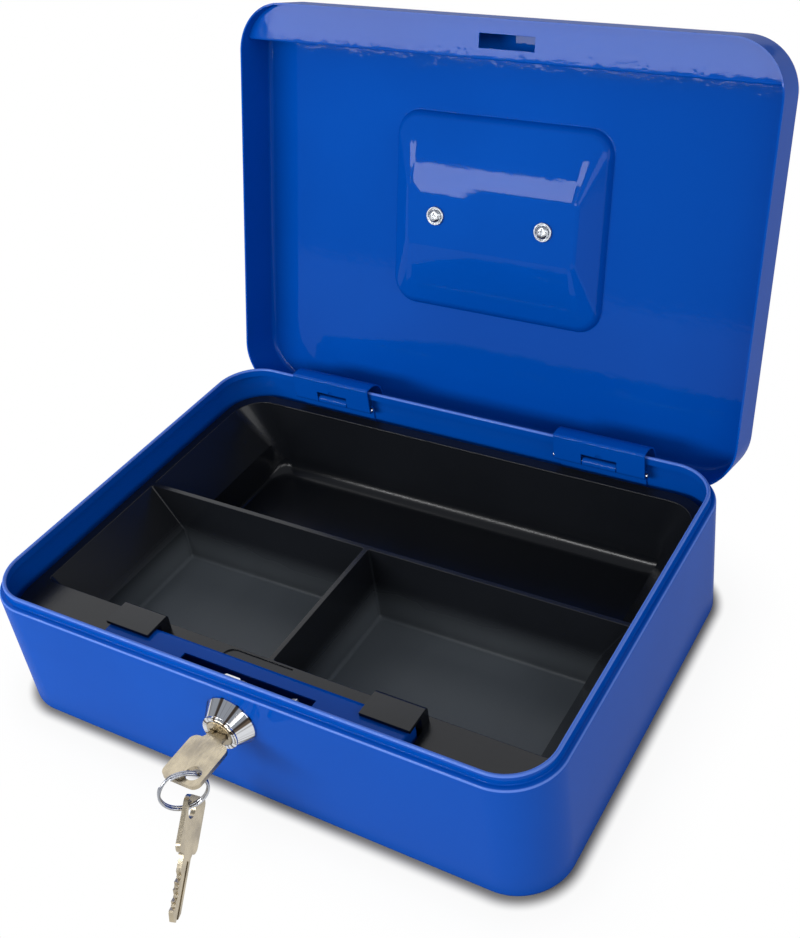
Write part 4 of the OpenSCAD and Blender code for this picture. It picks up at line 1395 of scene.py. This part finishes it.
@dataclass
class Handle:
    """The folding bail handle in the lid's well, its blocks and its screws."""

    hinging: Hinging = field(default_factory=Hinging)
    well_y: float = -5.0
    well_z: float = 70.0
    sheet: float = 0.8
    pivot_height: float = 3.4
    half_width: float = 37.0
    reach: float = 27.0
    rod: float = 2.0
    bend: float = 7.0
    pin_bend: float = 3.0
    pin_end: float = 29.7
    screw_x: float = 26.5
    screw: float = 2.0
    head: float = 2.95
    ring: tuple[float, float] = (3.35, 4.2)
    play: float = 0.06
    # The crossed recess: half its length, half its width and its depth, for each block that cuts it.
    recess: tuple[tuple[float, float, float], ...] = ((1.7, 0.38, 1.1), (0.38, 1.7, 1.1), (0.75, 0.75, 0.7))

    def build(self) -> None:
        """Builds the handle and what holds it."""
        self.bail()
        for side in ("left", "right"):
            Shape.copy_of(f"handle_pivot_{side}", f"pivot_block_{side}", 0.45 * MM).finish(
                Body.LID, ZINC, f"handle_pivot_{side}")
        self.screws()

    def bail(self) -> None:
        """Bends the round rod: half the grip, the bend, the leg, the tight bend and the pin."""
        clear_selection()
        bpy.ops.mesh.primitive_circle_add(vertices=32, radius=self.rod * MM, fill_type="NOTHING",
                                          rotation=(0, math.radians(90), 0), location=mm(0, self.reach, 0))
        shape = Shape("carry_bail", bpy.context.object).settle()
        b, p, x = self.bend, self.pin_bend, self.half_width
        shape.push(mm(x - b, 0, 0)).turn(mm(x - b, self.reach - b, 0), DOWN, 90, 14)
        shape.push(mm(0, b + p - self.reach, 0)).turn(mm(x - p, p, 0), DOWN, 90, 10)
        shape.push(mm(self.pin_end + p - x, 0, 0))
        bpy.ops.mesh.edge_face_add()
        shape.modify("MIRROR", use_axis=(True, False, False), merge_threshold=TINY / 2)
        shape.edit().merge(WELD).ease(0.3 * MM, angle=60)
        shape.place(self.hinging.stand()
                    @ Matrix.Translation(mm(0, self.well_y, self.well_z + self.pivot_height))
                    @ Matrix.Rotation(math.radians(self.hinging.open_degrees - 90), 4, "X"))
        shape.finish(Body.HANDLE, CHROME, "carry_handle")

    def _lathe(self, name: str, x: float, profile: Sequence[tuple[float, float]]) -> Shape:
        """Turns a profile of radii and heights round a screw's axis."""
        points = [mm(x + r, self.well_y, z) for r, z in profile]
        return Shape.lathe(name, points, mm(x, self.well_y, 0), UP, 48)

    def screws(self) -> None:
        """Builds the screws with their crossed recess, each in a raised ring."""
        under = self.well_z - self.sheet
        rings, heads = [], []
        (inner, outer), bore = self.ring, self.screw + self.play
        for i, x in enumerate((-self.screw_x, self.screw_x)):
            rings.append(self._lathe(f"screw_ring_{i}", x, [
                (bore, under), (outer, under), (outer, under - 0.9), (outer - 0.2, under - 1.15),
                (inner + 0.2, under - 1.15), (inner, under - 0.9), (inner, under - 0.4),
                (bore, under - 0.4), (bore, under)]))
            seat, h = under - 0.45, self.head
            head = self._lathe(f"screw_head_{i}", x, [
                (0, under + 6), (self.screw, under + 6), (self.screw, seat), (h, seat), (h, seat - 0.5),
                (h - 0.25, seat - 0.95), (h - 0.8, seat - 1.3), (h - 1.6, seat - 1.5), (0, seat - 1.6)])
            for long, wide, deep in self.recess:
                head.cut(Shape.block("recess", mm(x - long, self.well_y - wide, seat - 3),
                                     mm(x + long, self.well_y + wide, seat - 1.6 + deep)))
            heads.append(head.ease(0.08 * MM))
        stand = self.hinging.stand()
        rings[0].join(rings[1]).place(stand).finish(Body.LID, ZINC, "handle_washers", angle=30)
        heads[0].join(heads[1]).place(stand).finish(Body.LID, ZINC, "handle_screws")


@dataclass(frozen=True)
class Lamp:
    """An area lamp: its place, the point that it faces, its width and height, and its watts."""

    name: str
    spot: tuple[float, float, float]
    aim: tuple[float, float, float]
    size: tuple[float, float]
    power: float

    def hang(self) -> None:
        """Hangs the lamp."""
        clear_selection()
        turn = (Vector(self.aim) - Vector(self.spot)).to_track_quat("-Z", "Y").to_euler()
        bpy.ops.object.light_add(type="AREA", location=self.spot, rotation=turn)
        lamp = bpy.context.object
        lamp.name = self.name
        lamp.data.shape = "RECTANGLE"
        lamp.data.size, lamp.data.size_y = self.size
        lamp.data.energy = self.power


@dataclass
class Studio:
    """The pale floor, the lamps and the camera."""

    lamps: tuple[Lamp, ...] = (
        Lamp("window_lamp", (-0.52, -0.95, 0.52), (-0.52, 0.1, 0.22), (0.88, 0.23), 9.5),
        Lamp("front_lamp", (0.8, -1.3, 0.9), (0, 0, 0.08), (1.2, 0.35), 4.5),
        Lamp("side_lamp", (1.3, -0.25, 0.55), (0.1, 0, 0.05), (0.9, 0.6), 3),
        Lamp("rear_lamp", (-0.95, 0.85, 1.15), (0, 0, 0.03), (1.7, 1.5), 8))
    camera_spot: tuple[float, float, float] = (0.25152535, -0.31450680, 0.38511444)
    camera_turn: tuple[float, float, float] = (54.02709, 5.89439, 29.29052)
    lens: float = 48.997
    shift: tuple[float, float] = (-0.03767, -0.02186)
    # Half the width and depth of the rectangle from which the floor's shades are measured.
    foot: tuple[float, float, float] = (0.103, 0.069, 0.0)
    # How far outside it the painted contact shadow fades, and where the floor turns white in two stages.
    shadow: tuple[float, float] = (0.0225, 0.04)
    whites: tuple[tuple[float, float, float, float], ...] = ((0.0215, 0.0275, 0.0, 0.94),
                                                             (0.028, 0.06, 0.0, 0.06))
    floor_size: float = 60.0
    # The grey painted into the floor's colour beside the box as a contact shadow.
    painted_shadow: Colour = tone(158, 154, 146)
    paper: Colour = tone(250, 250, 251)
    sky: Colour = (0.88, 0.92, 1.0, 1.0)
    sky_strength: float = 0.42

    def build(self) -> None:
        """Builds the studio."""
        self.floor()
        self.world()
        for lamp in self.lamps:
            lamp.hang()
        self.camera()

    def floor(self) -> None:
        """Lays the floor; it keeps the shadow near the box, darkened further by a painted contact shadow,
        and turns white further out.
        """
        clear_selection()
        bpy.ops.mesh.primitive_plane_add(size=self.floor_size)
        shape = Shape("studio_floor", bpy.context.object).settle()
        bpy.ops.object.mode_set(mode="OBJECT")
        sheet = Sheet("studio_white")
        spot = sheet.place()
        for step, value in (("ABSOLUTE", None), ("SUBTRACT", self.foot), ("MAXIMUM", (0, 0, 0))):
            spot = sheet.node("ShaderNodeVectorMath", {"operation": step}, spot, value)
        far = sheet.node("ShaderNodeVectorMath", {"operation": "LENGTH"}, spot, out="Value")
        seen = sheet.node("ShaderNodeLightPath", out="Is Camera Ray")
        mirrored = sheet.node("ShaderNodeLightPath", out="Is Glossy Ray")
        through = sheet.node("ShaderNodeLightPath", out="Is Transmission Ray")
        near, wide = (far.ramp(*stage) for stage in self.whites)
        share = (seen + mirrored + through) * (near + wide)
        # Painted shadow: the floor's colour is grey beside the box and fades to paper white.
        shade = sheet.mix(far.ramp(*self.shadow), self.painted_shadow, self.paper)
        cloth = sheet.node("ShaderNodeBsdfDiffuse", {}, shade)
        glow = sheet.node("ShaderNodeEmission", {}, (1.0, 1.0, 1.0, 1.0), 1.0)
        both = sheet.node("ShaderNodeMixShader", {}, share, cloth, glow)
        shape.obj.data.materials.append(sheet.surface(both))

    def world(self) -> None:
        """Lights the room evenly."""
        world = bpy.data.worlds.new("studio_world")
        world.use_nodes = True
        back = world.node_tree.nodes["Background"]
        back.inputs["Color"].default_value = self.sky
        back.inputs["Strength"].default_value = self.sky_strength
        bpy.context.scene.world = world

    def camera(self) -> None:
        """Sets the camera up."""
        clear_selection()
        bpy.ops.object.camera_add(location=self.camera_spot,
                                  rotation=[math.radians(a) for a in self.camera_turn])
        camera = bpy.context.object
        camera.data.lens = self.lens
        camera.data.sensor_width = 36.0
        camera.data.sensor_fit = "AUTO"
        camera.data.shift_x, camera.data.shift_y = self.shift
        camera.data.clip_start = 0.01
        bpy.context.scene.camera = camera
        bpy.context.scene.view_settings.view_transform = "Standard"


def main() -> None:
    """Builds the cash box and its studio."""
    logging.basicConfig(level=logging.INFO, format="%(message)s")
    for part in (Case(), Hinges(), Lid(), Lock(), Keys(), Tray(), Handle(), Studio()):
        log.info("building %s", type(part).__name__)
        part.build()


if __name__ == "__main__":
    main()
